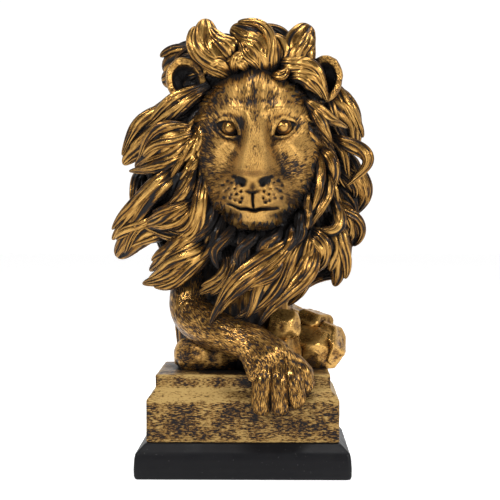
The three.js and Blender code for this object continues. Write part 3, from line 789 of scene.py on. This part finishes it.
def add_back_under(clay):
    """Plain locks that close the gaps at the back and the sides, and others over the crown, all
    painted a little darker as painted shade.
    """
    for row, (up, drop, count) in enumerate([(206, 54, 9), (172, 54, 10), (134, 52, 10),
                                             (100, 44, 9)]):
        for i in range(count):
            luck = float(chance(500 + 20 * row + i))
            angle = lerp(-8, 188, (i + 0.5 * (row % 2)) / (count - 0.5)) + 4 * luck
            root, tip, out = hanging(angle, up, drop, 8 * luck)
            lock(clay, root, tip, bow=5 * luck, curl=3 * luck, wide=17, thick=9, belly=1.5, out=out,
                 seed=500 + 20 * row + i, shade_and_tone=0.15, rows=22, plain=True)
    for i in range(8):
        luck = float(chance(600 + i))
        x = lerp(-36, 46, i / 7)
        lower = 0.006 * (x - 5) ** 2
        lock(clay, (x, -14, 215 - lower), (x + 8 * luck, 44, 192 - lower), bow=4 * luck, belly=9,
             wide=15, thick=11, out=(0, 0.4, 1), seed=600 + i, shade_and_tone=0.15, rows=22, plain=True)


def add_locks(clay, locks, hook, shade_and_tone):
    """The locks of one table. A row's own hook and painted darkening count before the group's."""
    for seed, spec in enumerate(locks, 1):
        lock(clay, **{"seed": seed, "hook": hook, "shade_and_tone": shade_and_tone, **spec})


def add_lump(clay, middle, half, power=2.0, rows=60, columns=90, hollow=0.66, groove=1.0,
             fine=(14, 5)):
    """A squarish ellipsoid, combed from top to bottom by noise that is long on its meridians."""
    v, u, d = directions(rows, columns, 0.01)
    reach = (np.abs(d) ** power).sum(-1) ** (-1 / power)
    comb = drift(spread(u * fine[0], v * fine[1], 0.0), power)
    size = np.array(half) - groove * (1 - comb)[..., None]
    grid = np.array(middle) + d * reach[..., None] * size
    clay.add(placed(grid), np.clip(hollow - 0.5 * comb, 0, 1), 300, 160)


# Masses that the locks lie on: the mane, the trunk, and fillings at the crown, throat and ears
CORE_LUMPS = [
    # The mane's core shows only between the locks and is painted near black: the wash in the
    # crevices and painted shade under the locks.
    (CORE["middle"], CORE["half"], CORE["power"], 120, 200, 0.8),
    ((-8, 14, 40), (43, 32, 62), 2.6, 160, 260, 0.5, 0.9, (18, 5)),
    ((4, -4, 208), (36, 20, 22)),
    ((14, -22, 98), (32, 18, 20)),
    ((-38, -3, 200), (13, 12, 13)),
    ((50, -5, 199), (16, 13, 15)),
]


# Ears, foreleg and rocks

# Place, turn and lean of each ear
EARS = [((-40, -21, 202.5), 14, -18), ((55, -21, 203.5), -16, 18)]


def add_ear(clay, place, turn, lean):
    """A deep cup turned forward: one profile from its back over the rim and into the hollow,
    carried round an oval and roughened by noise, with the rim thicker above."""
    wide, wall, deep = 13.6, 3.8, 16.0
    profile = np.array([[0.5, -deep], [0.6 * wide, -0.78 * deep], [0.95 * wide, -0.35 * deep],
                        [wide + 0.4, -0.05 * deep], [wide - 0.2, 1.2], [wide - wall, 0.6],
                        [0.72 * (wide - wall), -0.4 * deep], [0.4, -0.62 * deep]])
    s = np.linspace(0, 1, len(profile))
    v = np.linspace(0, 1, 70)
    r = np.interp(v, s, profile[:, 0])
    h = np.interp(v, s, profile[:, 1])
    for line in (r, h):
        line[1:-1] = (line[:-2] + 2 * line[1:-1] + line[2:]) / 4
    u = full_turn(96)
    r, h = r[:, None], h[:, None]
    rough = drift(spread(u * 5, h / 5, 0.0), turn)
    r = r * (1 + 0.015 * rough)
    x, y, z = r * np.cos(u), -h + 0.3 * rough, 1.24 * r * np.sin(u)
    z, x = rotated(z, x, lean)
    x, y = rotated(x, y, turn)
    grid = spread(x, y, z) + np.array(place)
    inner = ramp(v, 0.66, 0.95)[:, None]
    hollow = np.clip(0.12 + 0.85 * inner - 0.2 * rough, 0, 1)
    clay.add(placed(grid), hollow, 80, 50)


def smooth_path(points, count):
    """A curve through points: each stretch is the cubic whose ends lean along its neighbours."""
    p = np.array(points, float)
    p = np.concatenate([[2 * p[0] - p[1]], p, [2 * p[-1] - p[-2]]])
    t = np.linspace(0, len(points) - 1, count)
    i = np.minimum(t.astype(int), len(points) - 2)
    f = (t - i)[:, None]
    a, b, c, d = p[i], p[i + 1], p[i + 2], p[i + 3]
    return 0.5 * (2 * b + (c - a) * f + (2 * a - 5 * b + 4 * c - d) * f ** 2
                  + (3 * b - a - 3 * c + d) * f ** 3)


def furred_tube(clay, path, across, up, half_wide, half_deep, sides, seed):
    """A limb: an oval ring along a path, with short hairs as noise drawn out along it."""
    theta, along = full_turn(sides), run_along(path)
    girth = (half_wide + half_deep)[:, None] / 2
    waves = spread(theta * girth.mean() / 1.3 + 0.2 * along, along / 3.6, 0.0)
    hairs = drift(waves, seed) + 0.5 * drift(waves * np.array([0.4, 0.4, 1]), seed + 5)
    lift = 0.30 * hairs
    rings = oval_rings(path, across, up, half_wide[:, None] + lift, half_deep[:, None] + lift,
                       theta)
    hollow = np.clip(0.40 - 0.22 * hairs, 0, 1)
    clay.add(placed(rings), hollow, 2 * np.pi * girth.mean(), along[-1, 0])


def add_foreleg(clay):
    """The foreleg: down from the shoulder, round the elbow, and along to the knuckles."""
    path = smooth_path([(-27, 6, 82), (-36, -2, 62), (-37, -10, 42), (-24, -24, 31),
                        (-8, -38, 26), (7, -47, 21), (17, -51, 11), (23.5, -53, 0)], 230)
    t = np.linspace(0, 1, 230)
    across, up = frame_along(path, [0.3, -0.9, 0.3])
    wide = lerp(15, 13, ramp(t, 0.3, 0.6)) + 6.0 * ramp(t, 0.65, 0.92)
    deep = lerp(15, 9.5, ramp(t, 0.4, 0.85)) - 5.5 * ramp(t, 0.82, 1.0)
    shut = np.where(t > 0.92, np.sqrt(np.clip(1 - ((t - 0.92) / 0.081) ** 2, 0.02, 1)), 1.0)
    shut = shut * np.sqrt(ramp(t, -0.05, 0.08))
    furred_tube(clay, path, across, up, wide * shut, deep * shut, 130, 2.0)


def add_toes(clay):
    """Four toes on bent paths from the knuckles down the block's front, the outermost higher."""
    tips = [(12.5, -55, -24.5), (25, -56.5, -24.5), (36.5, -55, -20.0), (43, -49, -9.5)]
    for i, (x, y, z) in enumerate(tips):
        root = np.array([lerp(x, 23, 0.45), -45, 15 - 1.5 * i])
        knuckle = np.array([x, y - 6.0, lerp(z, 12, 0.62)])
        t = np.linspace(0, 1, 70)[:, None]
        path = arc(root, knuckle, np.array([x, y, z]), t)
        heading = unit(np.gradient(path, axis=0))
        across = unit(np.broadcast_to(np.array([1, 0, 0.15 * (i - 1.5)]), path.shape))
        up = unit(np.cross(heading, across))
        t = t[:, 0]
        joint = 0.8 * np.exp(-((t - 0.45) / 0.16) ** 2)
        full = (6.9 if i else 7.5) + joint - 0.4 * np.exp(-((t - 0.7) / 0.1) ** 2)
        full = full * np.sqrt(np.clip(1 - ramp(t, 0.8, 1.12) ** 2 * 1.25, 0.006, 1))
        furred_tube(clay, path, across, up, 0.94 * full, full, 64, 20.0 + i)


def add_rock(clay, middle, half, seed, planes=14, rough=0.1):
    """A broken rock: along each direction the nearest of several planes, their edges softened."""
    d = directions(56, 84, 0.02)[2]
    k = np.arange(planes)
    rise = 1 - 2 * (k + 0.5) / planes
    angle = k * 2.39996  # the golden angle, which spreads the planes evenly
    flat = np.sqrt(1 - rise ** 2)
    normals = unit(np.stack([flat * np.cos(angle), flat * np.sin(angle), rise], -1)
                   + 0.25 * chance(seed + 3 * k[:, None] + np.arange(3)))
    reach = 0.9 + rough * chance(seed + k)
    facing = np.maximum(d @ normals.T, 1e-3)
    near = reach / facing
    sharp = 40.0
    radius = (near ** -sharp).sum(-1) ** (-1 / sharp)
    stone = drift(d * 3 + seed, seed) * 0.03 + drift(d * 11 + seed, seed + 9) * 0.008
    radius = np.minimum(radius, 1.12) + stone
    grid = np.array(middle) + d * radius[..., None] * np.array(half)
    grid[..., 2] = np.maximum(grid[..., 2], -ROCK_SUNK)
    edge = softened(radius, 3) - radius
    hollow = np.clip(0.12 + 14 * edge - 5 * stone, -0.1, 1)
    clay.add(placed(grid), hollow, 90, 50)


# Middle, half size and seed of each rock
ROCKS = [
    ((27, -20, 32), (12, 10, 13), 3),
    ((44, 8, 13), (25, 20, 19), 21),
    ((62, 10, 17), (11, 17, 16), 40),
    ((48, 18, 29), (16, 14, 12), 55),
    ((22, -12, 14), (19, 20, 18), 70),
    ((-18, 24, 18), (25, 24, 32), 90),
    ((20, 24, 18), (36, 23, 31), 120),
]
ROCK_SUNK = 0.8  # how deep a rock may stand in the step
SLAB = ((-24, 4, 9.5), (27, 26, 17), 2.4, 60, 100, 0.3, 0.8, (5, 4))


# Block and plinth


def resampled(line, pick):
    """Places on a line, at the lengths along it that pick gives for its whole length."""
    length = np.concatenate([[0], np.cumsum(np.linalg.norm(np.diff(line, axis=0), axis=1))])
    at = pick(length[-1])
    return np.stack([np.interp(at, length, line[:, 0]), np.interp(at, length, line[:, 1])], -1)


def rectangle_ring(width, depth, corner, count):
    """A rectangle with round corners at `count` even steps of its length, counter-clockwise."""
    angle = np.linspace(0, np.pi / 2, 8)
    arcs = []
    for quarter, (sx, sy) in enumerate([(1, 1), (-1, 1), (-1, -1), (1, -1)]):
        turn = angle + quarter * np.pi / 2
        arcs.append(np.stack([sx * (width / 2 - corner) + corner * np.cos(turn),
                              sy * (depth / 2 - corner) + corner * np.sin(turn)], -1))
    line = np.concatenate(arcs + [arcs[0][:1]])
    return resampled(line, lambda whole: np.linspace(0, whole, count, endpoint=False))


def rounded_profile(levels, radius, spacing):
    """A line of [height, inset] with its corners cut by quadratic arcs, at an even spacing."""
    p = np.array(levels, float)
    out = [p[:1]]
    for before, at, after in zip(p[:-2], p[1:-1], p[2:]):
        start = at + (before - at) * min(radius / np.linalg.norm(before - at), 0.5)
        stop = at + (after - at) * min(radius / np.linalg.norm(after - at), 0.5)
        t = np.linspace(0, 1, 5)[:, None]
        out.append(arc(start, at, stop, t))
    line = np.concatenate(out + [p[-1:]])
    return resampled(line, lambda whole: np.arange(0, whole, spacing))


def stepped_surface(width, depth, corner, levels, radius, spacing, columns, rough, seed):
    """Rings of a round-cornered rectangle up a profile, roughened by noise, and how worn each
    place is."""
    line = rounded_profile(levels, radius, spacing)
    rings = []
    for z, inset in line:
        least = min(width, depth) / 2 - inset
        ring = rectangle_ring(width - 2 * inset, depth - 2 * inset,
                              min(max(corner - 0.5 * inset, 0.4 * corner), 0.9 * least), columns)
        rings.append(np.concatenate([ring, np.full((columns, 1), z)], 1))
    grid = np.array(rings)
    wear = drift(grid / 9.0, seed) + 0.5 * drift(grid / 3.0, seed + 2)
    grid[..., :2] *= 1 - rough * (wear[..., None] + 0.6) / (width / 2)
    return grid, line, wear


def add_block(clay):
    """The stepped block: upright, sloping in, upright again and level on top."""
    s = sizes()
    base = s.plinth_height / MM
    foot = base + s.block_height / MM
    shelf = foot + s.slope_height / MM
    top = shelf + s.step_height / MM
    inset = s.slope_inset / MM
    width = (s.plinth_width - 2 * s.block_margin) / MM
    depth = (s.plinth_depth - 2 * s.block_margin) / MM
    levels = [(base, depth / 2 - 1), (base, 0), (foot, 0), (shelf, inset), (top, inset),
              (top, depth / 2 - 1)]
    grid, line, wear = stepped_surface(width, depth, BLOCK_CORNER, levels, 1.0, 0.95, 520, 0.16,
                                       5.0)
    bend = np.zeros(len(line))
    for z, x in levels[1:-1]:
        bend = np.maximum(bend, np.exp(-((line[:, 0] - z) ** 2 + (line[:, 1] - x) ** 2) / 3.0))
    hollow = np.clip(0.42 - 0.5 * bend[:, None] - 0.3 * wear, -0.2, 1)
    hollow = hollow - 0.35 * ramp(line[:, 0], foot, foot + 1)[:, None] * (
        1 - ramp(line[:, 0], shelf - 0.5, shelf + 0.5))[:, None]
    clay.add(grid, hollow, 2 * (width + depth), len(line) * FLOW_STEP)


def add_plinth(clay):
    """The plinth: upright at its foot, then rounded over to the block."""
    s = sizes()
    high = s.plinth_height / MM
    depth = s.plinth_depth / MM
    width = s.plinth_width / MM
    slope = PLINTH_SHOULDER
    levels = [(0, depth / 2 - 1), (0, 1.2), (0.07 * high, 0.2), (0.3 * high, 0),
              (0.58 * high, 0.06 * slope), (0.74 * high, 0.16 * slope), (high, slope),
              (high, depth / 2 - 1)]
    grid, line, wear = stepped_surface(width, depth, PLINTH_CORNER, levels, 0.9, 0.9, 380, 0.06,
                                       9.0)
    clay.add(grid, 0.3 - 0.2 * wear, 2 * (width + depth), len(line) * FLOW_STEP)


# Materials


class Shader:
    """A material's nodes, made one by one and joined by their sockets."""

    def __init__(self, name):
        self.material = bpy.data.materials.new(name)
        self.material.use_nodes = True
        self.nodes = self.material.node_tree.nodes
        self.links = self.material.node_tree.links
        self.nodes.clear()
        self.surface = self.node("ShaderNodeBsdfPrincipled")
        end = self.node("ShaderNodeOutputMaterial")
        self.links.new(self.surface.outputs["BSDF"], end.inputs["Surface"])

    def node(self, kind, **values):
        """Makes a node and sets its own properties."""
        made = self.nodes.new(kind)
        for key, value in values.items():
            setattr(made, key, value)
        return made

    def put(self, socket, value):
        """Sets a socket to a value, or joins it to another node's socket."""
        if isinstance(value, bpy.types.NodeSocket):
            self.links.new(value, socket)
        else:
            socket.default_value = value

    def math(self, operation, a, b=0.0, c=0.0, clamp=False):
        """One operation on up to three values."""
        made = self.node("ShaderNodeMath", operation=operation, use_clamp=clamp)
        for socket, value in zip(made.inputs, (a, b, c)):
            self.put(socket, value)
        return made.outputs[0]

    def range(self, value, low, high, to_low=0.0, to_high=1.0):
        """A value taken smoothly from low and high to the two given ends."""
        made = self.node("ShaderNodeMapRange", interpolation_type="SMOOTHSTEP")
        for key, v in (("Value", value), ("From Min", low), ("From Max", high),
                       ("To Min", to_low), ("To Max", to_high)):
            self.put(made.inputs[key], v)
        return made.outputs[0]

    def mix(self, share_of_b, a, b):
        """A colour between two."""
        made = self.node("ShaderNodeMix", data_type="RGBA")
        self.put(made.inputs["Factor"], share_of_b)
        self.put(made.inputs[6], (*a, 1.0) if isinstance(a, tuple) else a)
        self.put(made.inputs[7], (*b, 1.0) if isinstance(b, tuple) else b)
        return made.outputs[2]

    def noise(self, vector, scale, detail=3.0, roughness=0.6, stretch=(1, 1, 1)):
        """Noise at a place, after the place is stretched."""
        mapping = self.node("ShaderNodeMapping")
        mapping.inputs["Scale"].default_value = stretch
        self.put(mapping.inputs["Vector"], vector)
        made = self.node("ShaderNodeTexNoise")
        self.put(made.inputs["Vector"], mapping.outputs[0])
        made.inputs["Scale"].default_value = scale
        made.inputs["Detail"].default_value = detail
        made.inputs["Roughness"].default_value = roughness
        return made.outputs["Fac"]

    def bump(self, height, strength, distance):
        """Bends the surface's normal by a height."""
        made = self.node("ShaderNodeBump")
        made.inputs["Strength"].default_value = strength
        made.inputs["Distance"].default_value = distance
        self.put(made.inputs["Height"], height)
        self.put(self.surface.inputs["Normal"], made.outputs[0])


# Reach of the ambient occlusion that paints shade into the golds.
OCCLUSION_SHADE_REACH = 0.022  # metres over which a recess shuts out light and keeps its black
PATCH_SCALE = 55.0  # patches of thinner gold to the metre
SCRATCH_LEVELS = (0.40, 0.46)  # of the strokes' noise, below which the gold is scratched off
GOLD_SHEEN = 0.1  # low, so that the black under the gold stays deep


def antique_gold(name, size, long, wash_and_shade, fleck, scratch, rough=0.3, soft=0.17, metal=0.85,
                 by_flow=True, patchy=0.8, shade=0.9, fade=(0.45, 1.15), bright="gold_bright"):
    """Gold rubbed over black: gold where the surface stands proud, black in furrows, in deep
    recesses and in strokes `size` mm wide and `long` times that, with broad patches where less
    gold was rubbed on and scratches along the strokes' troughs. The black in deep recesses is
    painted shade from ambient occlusion, `shade` of it, on top of the wash's own black there; the
    hollow attribute carries the pieces' painted shade and highlights too, and all of it also
    turns the gold from rubbed to deep."""
    c = colours()
    s = Shader(name)
    place = s.node("ShaderNodeTexCoord")
    flow = place.outputs["UV"] if by_flow else place.outputs["Object"]
    hollow = s.node("ShaderNodeAttribute", attribute_name="hollow").outputs["Fac"]
    recess = s.node("ShaderNodeAmbientOcclusion", samples=8)
    recess.inputs["Distance"].default_value = OCCLUSION_SHADE_REACH
    # Painted shade: ambient occlusion darkens what nearby surfaces hide, with the black the wash
    # leaves in recesses.
    recess_black_and_shade = s.range(recess.outputs["AO"], 0.8, 0.15, 0.0, shade)
    stretch = (1, 1 / long, 1) if by_flow else (1 / long, 1 / long, 1)
    strokes = s.noise(flow, 1 / (size * MM), 2.0, 0.6, stretch)
    patches = s.noise(place.outputs["Object"], PATCH_SCALE, 3.0, 0.6)
    # How far a place stands proud, less the painted shade of recesses.
    proud = s.math("SUBTRACT", s.math("SUBTRACT", 1.0, hollow), recess_black_and_shade)
    proud = s.math("MULTIPLY_ADD", s.math("SUBTRACT", strokes, 0.5), fleck, proud)
    proud = s.math("MULTIPLY_ADD", s.math("SUBTRACT", patches, 0.5), patchy, proud)
    scratched = s.range(strokes, *SCRATCH_LEVELS, scratch, 0.0)
    gold = s.math("SUBTRACT", s.range(proud, wash_and_shade - soft, wash_and_shade + soft), scratched, clamp=True)
    # The tone runs from deep to rubbed gold as a place stands proud, so painted shade turns it deep
    # as well.
    tone = s.mix(s.range(proud, *fade), tuple(c.gold_deep_and_shaded), tuple(getattr(c, bright)))
    colour = s.mix(gold, tuple(c.ground_black), tone)
    s.put(s.surface.inputs["Base Color"], colour)
    s.put(s.surface.inputs["Metallic"], s.math("MULTIPLY", gold, metal))
    s.put(s.surface.inputs["Roughness"], s.range(patches, 0.3, 0.7, rough - 0.06, rough + 0.10))
    s.surface.inputs["Specular IOR Level"].default_value = GOLD_SHEEN
    s.bump(strokes, 0.6, 0.0006)
    return s.material


def plinth_black():
    """Satin black paint with a faint mottle and a few worn, greyer specks."""
    c = colours()
    s = Shader("satin_black")
    place = s.node("ShaderNodeTexCoord").outputs["Object"]
    mottle = s.noise(place, 90.0, 4.0)
    worn = s.range(s.noise(place, 420.0, 2.0), 0.66, 0.78)
    s.put(s.surface.inputs["Base Color"],
          s.mix(s.math("MULTIPLY", worn, 0.35), tuple(c.plinth_black), (0.09, 0.09, 0.085)))
    s.put(s.surface.inputs["Roughness"], s.range(mottle, 0.3, 0.7, 0.36, 0.5))
    s.surface.inputs["Specular IOR Level"].default_value = 0.13
    s.bump(mottle, 0.25, 0.0004)
    return s.material


# The golds: see antique_gold for what each value does
FINISHES = {
    "hair_gold": dict(size=0.8, long=11.0, wash_and_shade=0.54, fleck=0.7, scratch=0.2, rough=0.24,
                      metal=0.95, fade=(0.5, 1.25)),
    "fur_gold": dict(size=0.65, long=3.8, wash_and_shade=0.49, fleck=1.6, scratch=0.5, rough=0.34,
                     soft=0.20, shade=0.65, fade=(0.38, 1.05)),
    "limb_gold": dict(size=0.8, long=4.2, wash_and_shade=0.43, fleck=3.0, scratch=0.3, rough=0.28,
                      soft=0.2, patchy=0.25, shade=0.75),
    "eye_gold": dict(size=3.0, long=1.0, wash_and_shade=0.46, fleck=0.1, scratch=0.0, rough=0.16,
                     soft=0.3, shade=0.4),
    "ear_gold": dict(size=1.0, long=1.5, wash_and_shade=0.50, fleck=1.0, scratch=0.4, by_flow=False),
    "rock_gold": dict(size=1.4, long=1.6, wash_and_shade=0.27, fleck=0.9, scratch=0.3, rough=0.26,
                      soft=0.22, metal=0.8, by_flow=False, shade=0.75, fade=(0.3, 1.0)),
    "slab_gold": dict(size=1.1, long=2.0, wash_and_shade=0.36, fleck=1.7, scratch=0.3, rough=0.40,
                      metal=0.5, by_flow=False, patchy=0.3, shade=0.6, fade=(0.25, 1.1)),
    "stone_gold": dict(size=0.7, long=3.6, wash_and_shade=0.52, fleck=2.3, scratch=0.2, rough=0.4,
                       metal=0.35, by_flow=False, patchy=0.40, bright="stone_gold"),
}


def finish(name):
    """The gold of this name, made when it is first asked for."""
    return bpy.data.materials.get(name) or antique_gold(name, **FINISHES[name])


# Operators


def cast(name, material, parts, **more):
    """Makes one piece of several surfaces, each given as a function and its values."""
    clay = Clay()
    for add, *values in parts:
        add(clay, *values)
    clay.piece(name, material, **more)


class LION_OT_head(bpy.types.Operator):
    """Make the bare head with its face, and the eyes"""

    bl_idname = "lion.head"
    bl_label = "Head and eyes"

    def execute(self, context):
        cast("lion_head", finish("fur_gold"), [(add_head,)])
        cast("eyeballs", finish("eye_gold"), [(add_eyeball, -1), (add_eyeball, 1)])
        return {"FINISHED"}


class LION_OT_ears(bpy.types.Operator):
    """Make both ears"""

    bl_idname = "lion.ears"
    bl_label = "Ears"

    def execute(self, context):
        cast("lion_ears", finish("ear_gold"), [(add_ear, *ear) for ear in EARS])
        return {"FINISHED"}


class LION_OT_mane_core(bpy.types.Operator):
    """Make the combed masses that the locks lie on"""

    bl_idname = "lion.mane_core"
    bl_label = "Mane core"

    def execute(self, context):
        cast("mane_core", finish("hair_gold"), [(add_lump, *lump) for lump in CORE_LUMPS])
        return {"FINISHED"}


class LION_OT_mane(bpy.types.Operator):
    """Make the locks over the forehead, at both sides, under the chin and round the back"""

    bl_idname = "lion.mane"
    bl_label = "Mane"

    def execute(self, context):
        for name, locks, hook, shade_and_tone in LOCK_GROUPS:
            cast(name, finish("hair_gold"), [(add_locks, locks, hook, shade_and_tone)])
        for name, add in (("mane_back", add_back_locks), ("mane_back_under", add_back_under),
                          ("mane_under", add_under_locks), ("face_fringe", add_fringe)):
            cast(name, finish("hair_gold"), [(add,)])
        return {"FINISHED"}


class LION_OT_foreleg(bpy.types.Operator):
    """Make the foreleg and the toes of its paw"""

    bl_idname = "lion.foreleg"
    bl_label = "Foreleg and paw"

    def execute(self, context):
        cast("foreleg", finish("limb_gold"), [(add_foreleg,), (add_toes,)])
        return {"FINISHED"}


class LION_OT_rocks(bpy.types.Operator):
    """Make the rocks round the foot of the mane, and the slab it lies on"""

    bl_idname = "lion.rocks"
    bl_label = "Rocks"

    def execute(self, context):
        cast("rocks", finish("rock_gold"), [(add_rock, *rock) for rock in ROCKS])
        cast("lying_slab", finish("slab_gold"), [(add_lump, *SLAB)])
        return {"FINISHED"}


class LION_OT_block(bpy.types.Operator):
    """Make the stepped block"""

    bl_idname = "lion.block"
    bl_label = "Stepped block"

    def execute(self, context):
        cast("stepped_block", finish("stone_gold"), [(add_block,)])
        return {"FINISHED"}


class LION_OT_plinth(bpy.types.Operator):
    """Make the black plinth"""

    bl_idname = "lion.plinth"
    bl_label = "Plinth"

    def execute(self, context):
        cast("black_plinth", plinth_black(), [(add_plinth,)], slot="black_base",
             stands_for="plinth")
        return {"FINISHED"}


class LION_OT_stage(bpy.types.Operator):
    """Make the pale floor, the soft lights and the camera"""

    bl_idname = "lion.stage"
    bl_label = "Stage"

    def execute(self, context):
        add_floor()
        add_lights()
        add_camera()
        return {"FINISHED"}


def add_floor():
    """A level floor far wider than the view."""
    half = FLOOR_HALF
    mesh = bpy.data.meshes.new("floor")
    mesh.from_pydata([(-half, -half, 0), (half, -half, 0), (half, half, 0), (-half, half, 0)], [],
                     [(0, 1, 2, 3)])
    floor = bpy.data.objects.new("floor", mesh)
    bpy.context.scene.collection.objects.link(floor)
    s = Shader("pale_floor")
    s.surface.inputs["Base Color"].default_value = (*colours().floor_white, 1.0)
    s.surface.inputs["Roughness"].default_value = 0.8
    s.surface.inputs["Emission Color"].default_value = (1.0, 1.0, 1.0, 1.0)
    s.surface.inputs["Emission Strength"].default_value = 0.5
    mesh.materials.append(s.material)


# Name, place, width and power of each lamp
LAMPS = [
    ("key", (-0.75, -1.05, 0.95), 0.26, 13.0),
    ("fill", (1.0, -0.85, 0.55), 0.26, 9.5),
    ("top", (0.1, -0.1, 1.3), 0.5, 8.0),
]
LAMPS_LOOK_AT = (0.0, 0.0, 0.18)
FLOOR_HALF = 6.0  # m
CAMERA_PLACE = (0.020, -0.957, 0.176)
CAMERA_LOOKS_ALONG = (-0.01655, 1.0, -0.02257)
CAMERA_LENS, CAMERA_SENSOR = 96.4, 36.0  # mm


def add_lights():
    """A white wall behind, a dimmer room in front, and three large soft lights: a key from the
    upper left, a fill from the right and one above."""
    scene = bpy.context.scene
    world = bpy.data.worlds.new("studio")
    world.use_nodes = True
    nodes, links = world.node_tree.nodes, world.node_tree.links
    place = nodes.new("ShaderNodeTexCoord")
    split = nodes.new("ShaderNodeSeparateXYZ")
    wall = nodes.new("ShaderNodeMapRange")
    for key, value in (("From Min", -0.2), ("From Max", 0.6), ("To Min", 0.12), ("To Max", 1.05)):
        wall.inputs[key].default_value = value
    links.new(place.outputs["Generated"], split.inputs["Vector"])
    links.new(split.outputs["Y"], wall.inputs["Value"])
    links.new(wall.outputs["Result"], nodes["Background"].inputs["Strength"])
    nodes["Background"].inputs["Color"].default_value = (1.0, 1.0, 1.0, 1.0)
    scene.world = world
    for name, place, size, power in LAMPS:
        light = bpy.data.lights.new(name, "AREA")
        light.size = size
        light.energy = power
        lamp = bpy.data.objects.new(name, light)
        lamp.location = place
        lamp.rotation_euler = looking_along(np.array(LAMPS_LOOK_AT) - np.array(place))
        scene.collection.objects.link(lamp)
    scene.view_settings.view_transform = "Standard"


def looking_along(direction):
    """The turn that points an object's -Z along a direction, with its Y as far up as it goes."""
    return Vector(direction).to_track_quat("-Z", "Y").to_euler()


def add_camera():
    """The photograph's view: 0.9 m in front of the plinth, a little right, level with the neck."""
    lens = bpy.data.cameras.new("view")
    lens.sensor_width = CAMERA_SENSOR
    lens.lens = CAMERA_LENS
    camera = bpy.data.objects.new("view", lens)
    camera.location = CAMERA_PLACE
    camera.rotation_euler = looking_along(CAMERA_LOOKS_ALONG)
    bpy.context.scene.collection.objects.link(camera)
    bpy.context.scene.camera = camera


class LION_PT_panel(bpy.types.Panel):
    """Sizes, colours and the steps that make the statue"""

    bl_idname = "LION_PT_panel"
    bl_label = "Lion head statue"
    bl_space_type = "VIEW_3D"
    bl_region_type = "UI"
    bl_category = "Lion"

    def draw(self, context):
        for group in (context.scene.lion_sizes, context.scene.lion_colours):
            for name in group.__annotations__:
                self.layout.prop(group, name)
        for operator in OPERATORS:
            self.layout.operator(operator.bl_idname)


OPERATORS = (LION_OT_plinth, LION_OT_block, LION_OT_rocks, LION_OT_foreleg, LION_OT_head,
             LION_OT_ears, LION_OT_mane_core, LION_OT_mane, LION_OT_stage)
CLASSES = (LionSizes, LionColours, *OPERATORS, LION_PT_panel)


def register():
    for cls in CLASSES:
        bpy.utils.register_class(cls)
    bpy.types.Scene.lion_sizes = PointerProperty(type=LionSizes)
    bpy.types.Scene.lion_colours = PointerProperty(type=LionColours)


def unregister():
    del bpy.types.Scene.lion_sizes
    del bpy.types.Scene.lion_colours
    for cls in reversed(CLASSES):
        bpy.utils.unregister_class(cls)


def main():
    register()
    for operator in OPERATORS:
        group, name = operator.bl_idname.split(".")
        getattr(getattr(bpy.ops, group), name)()


if __name__ == "__main__":
    main()
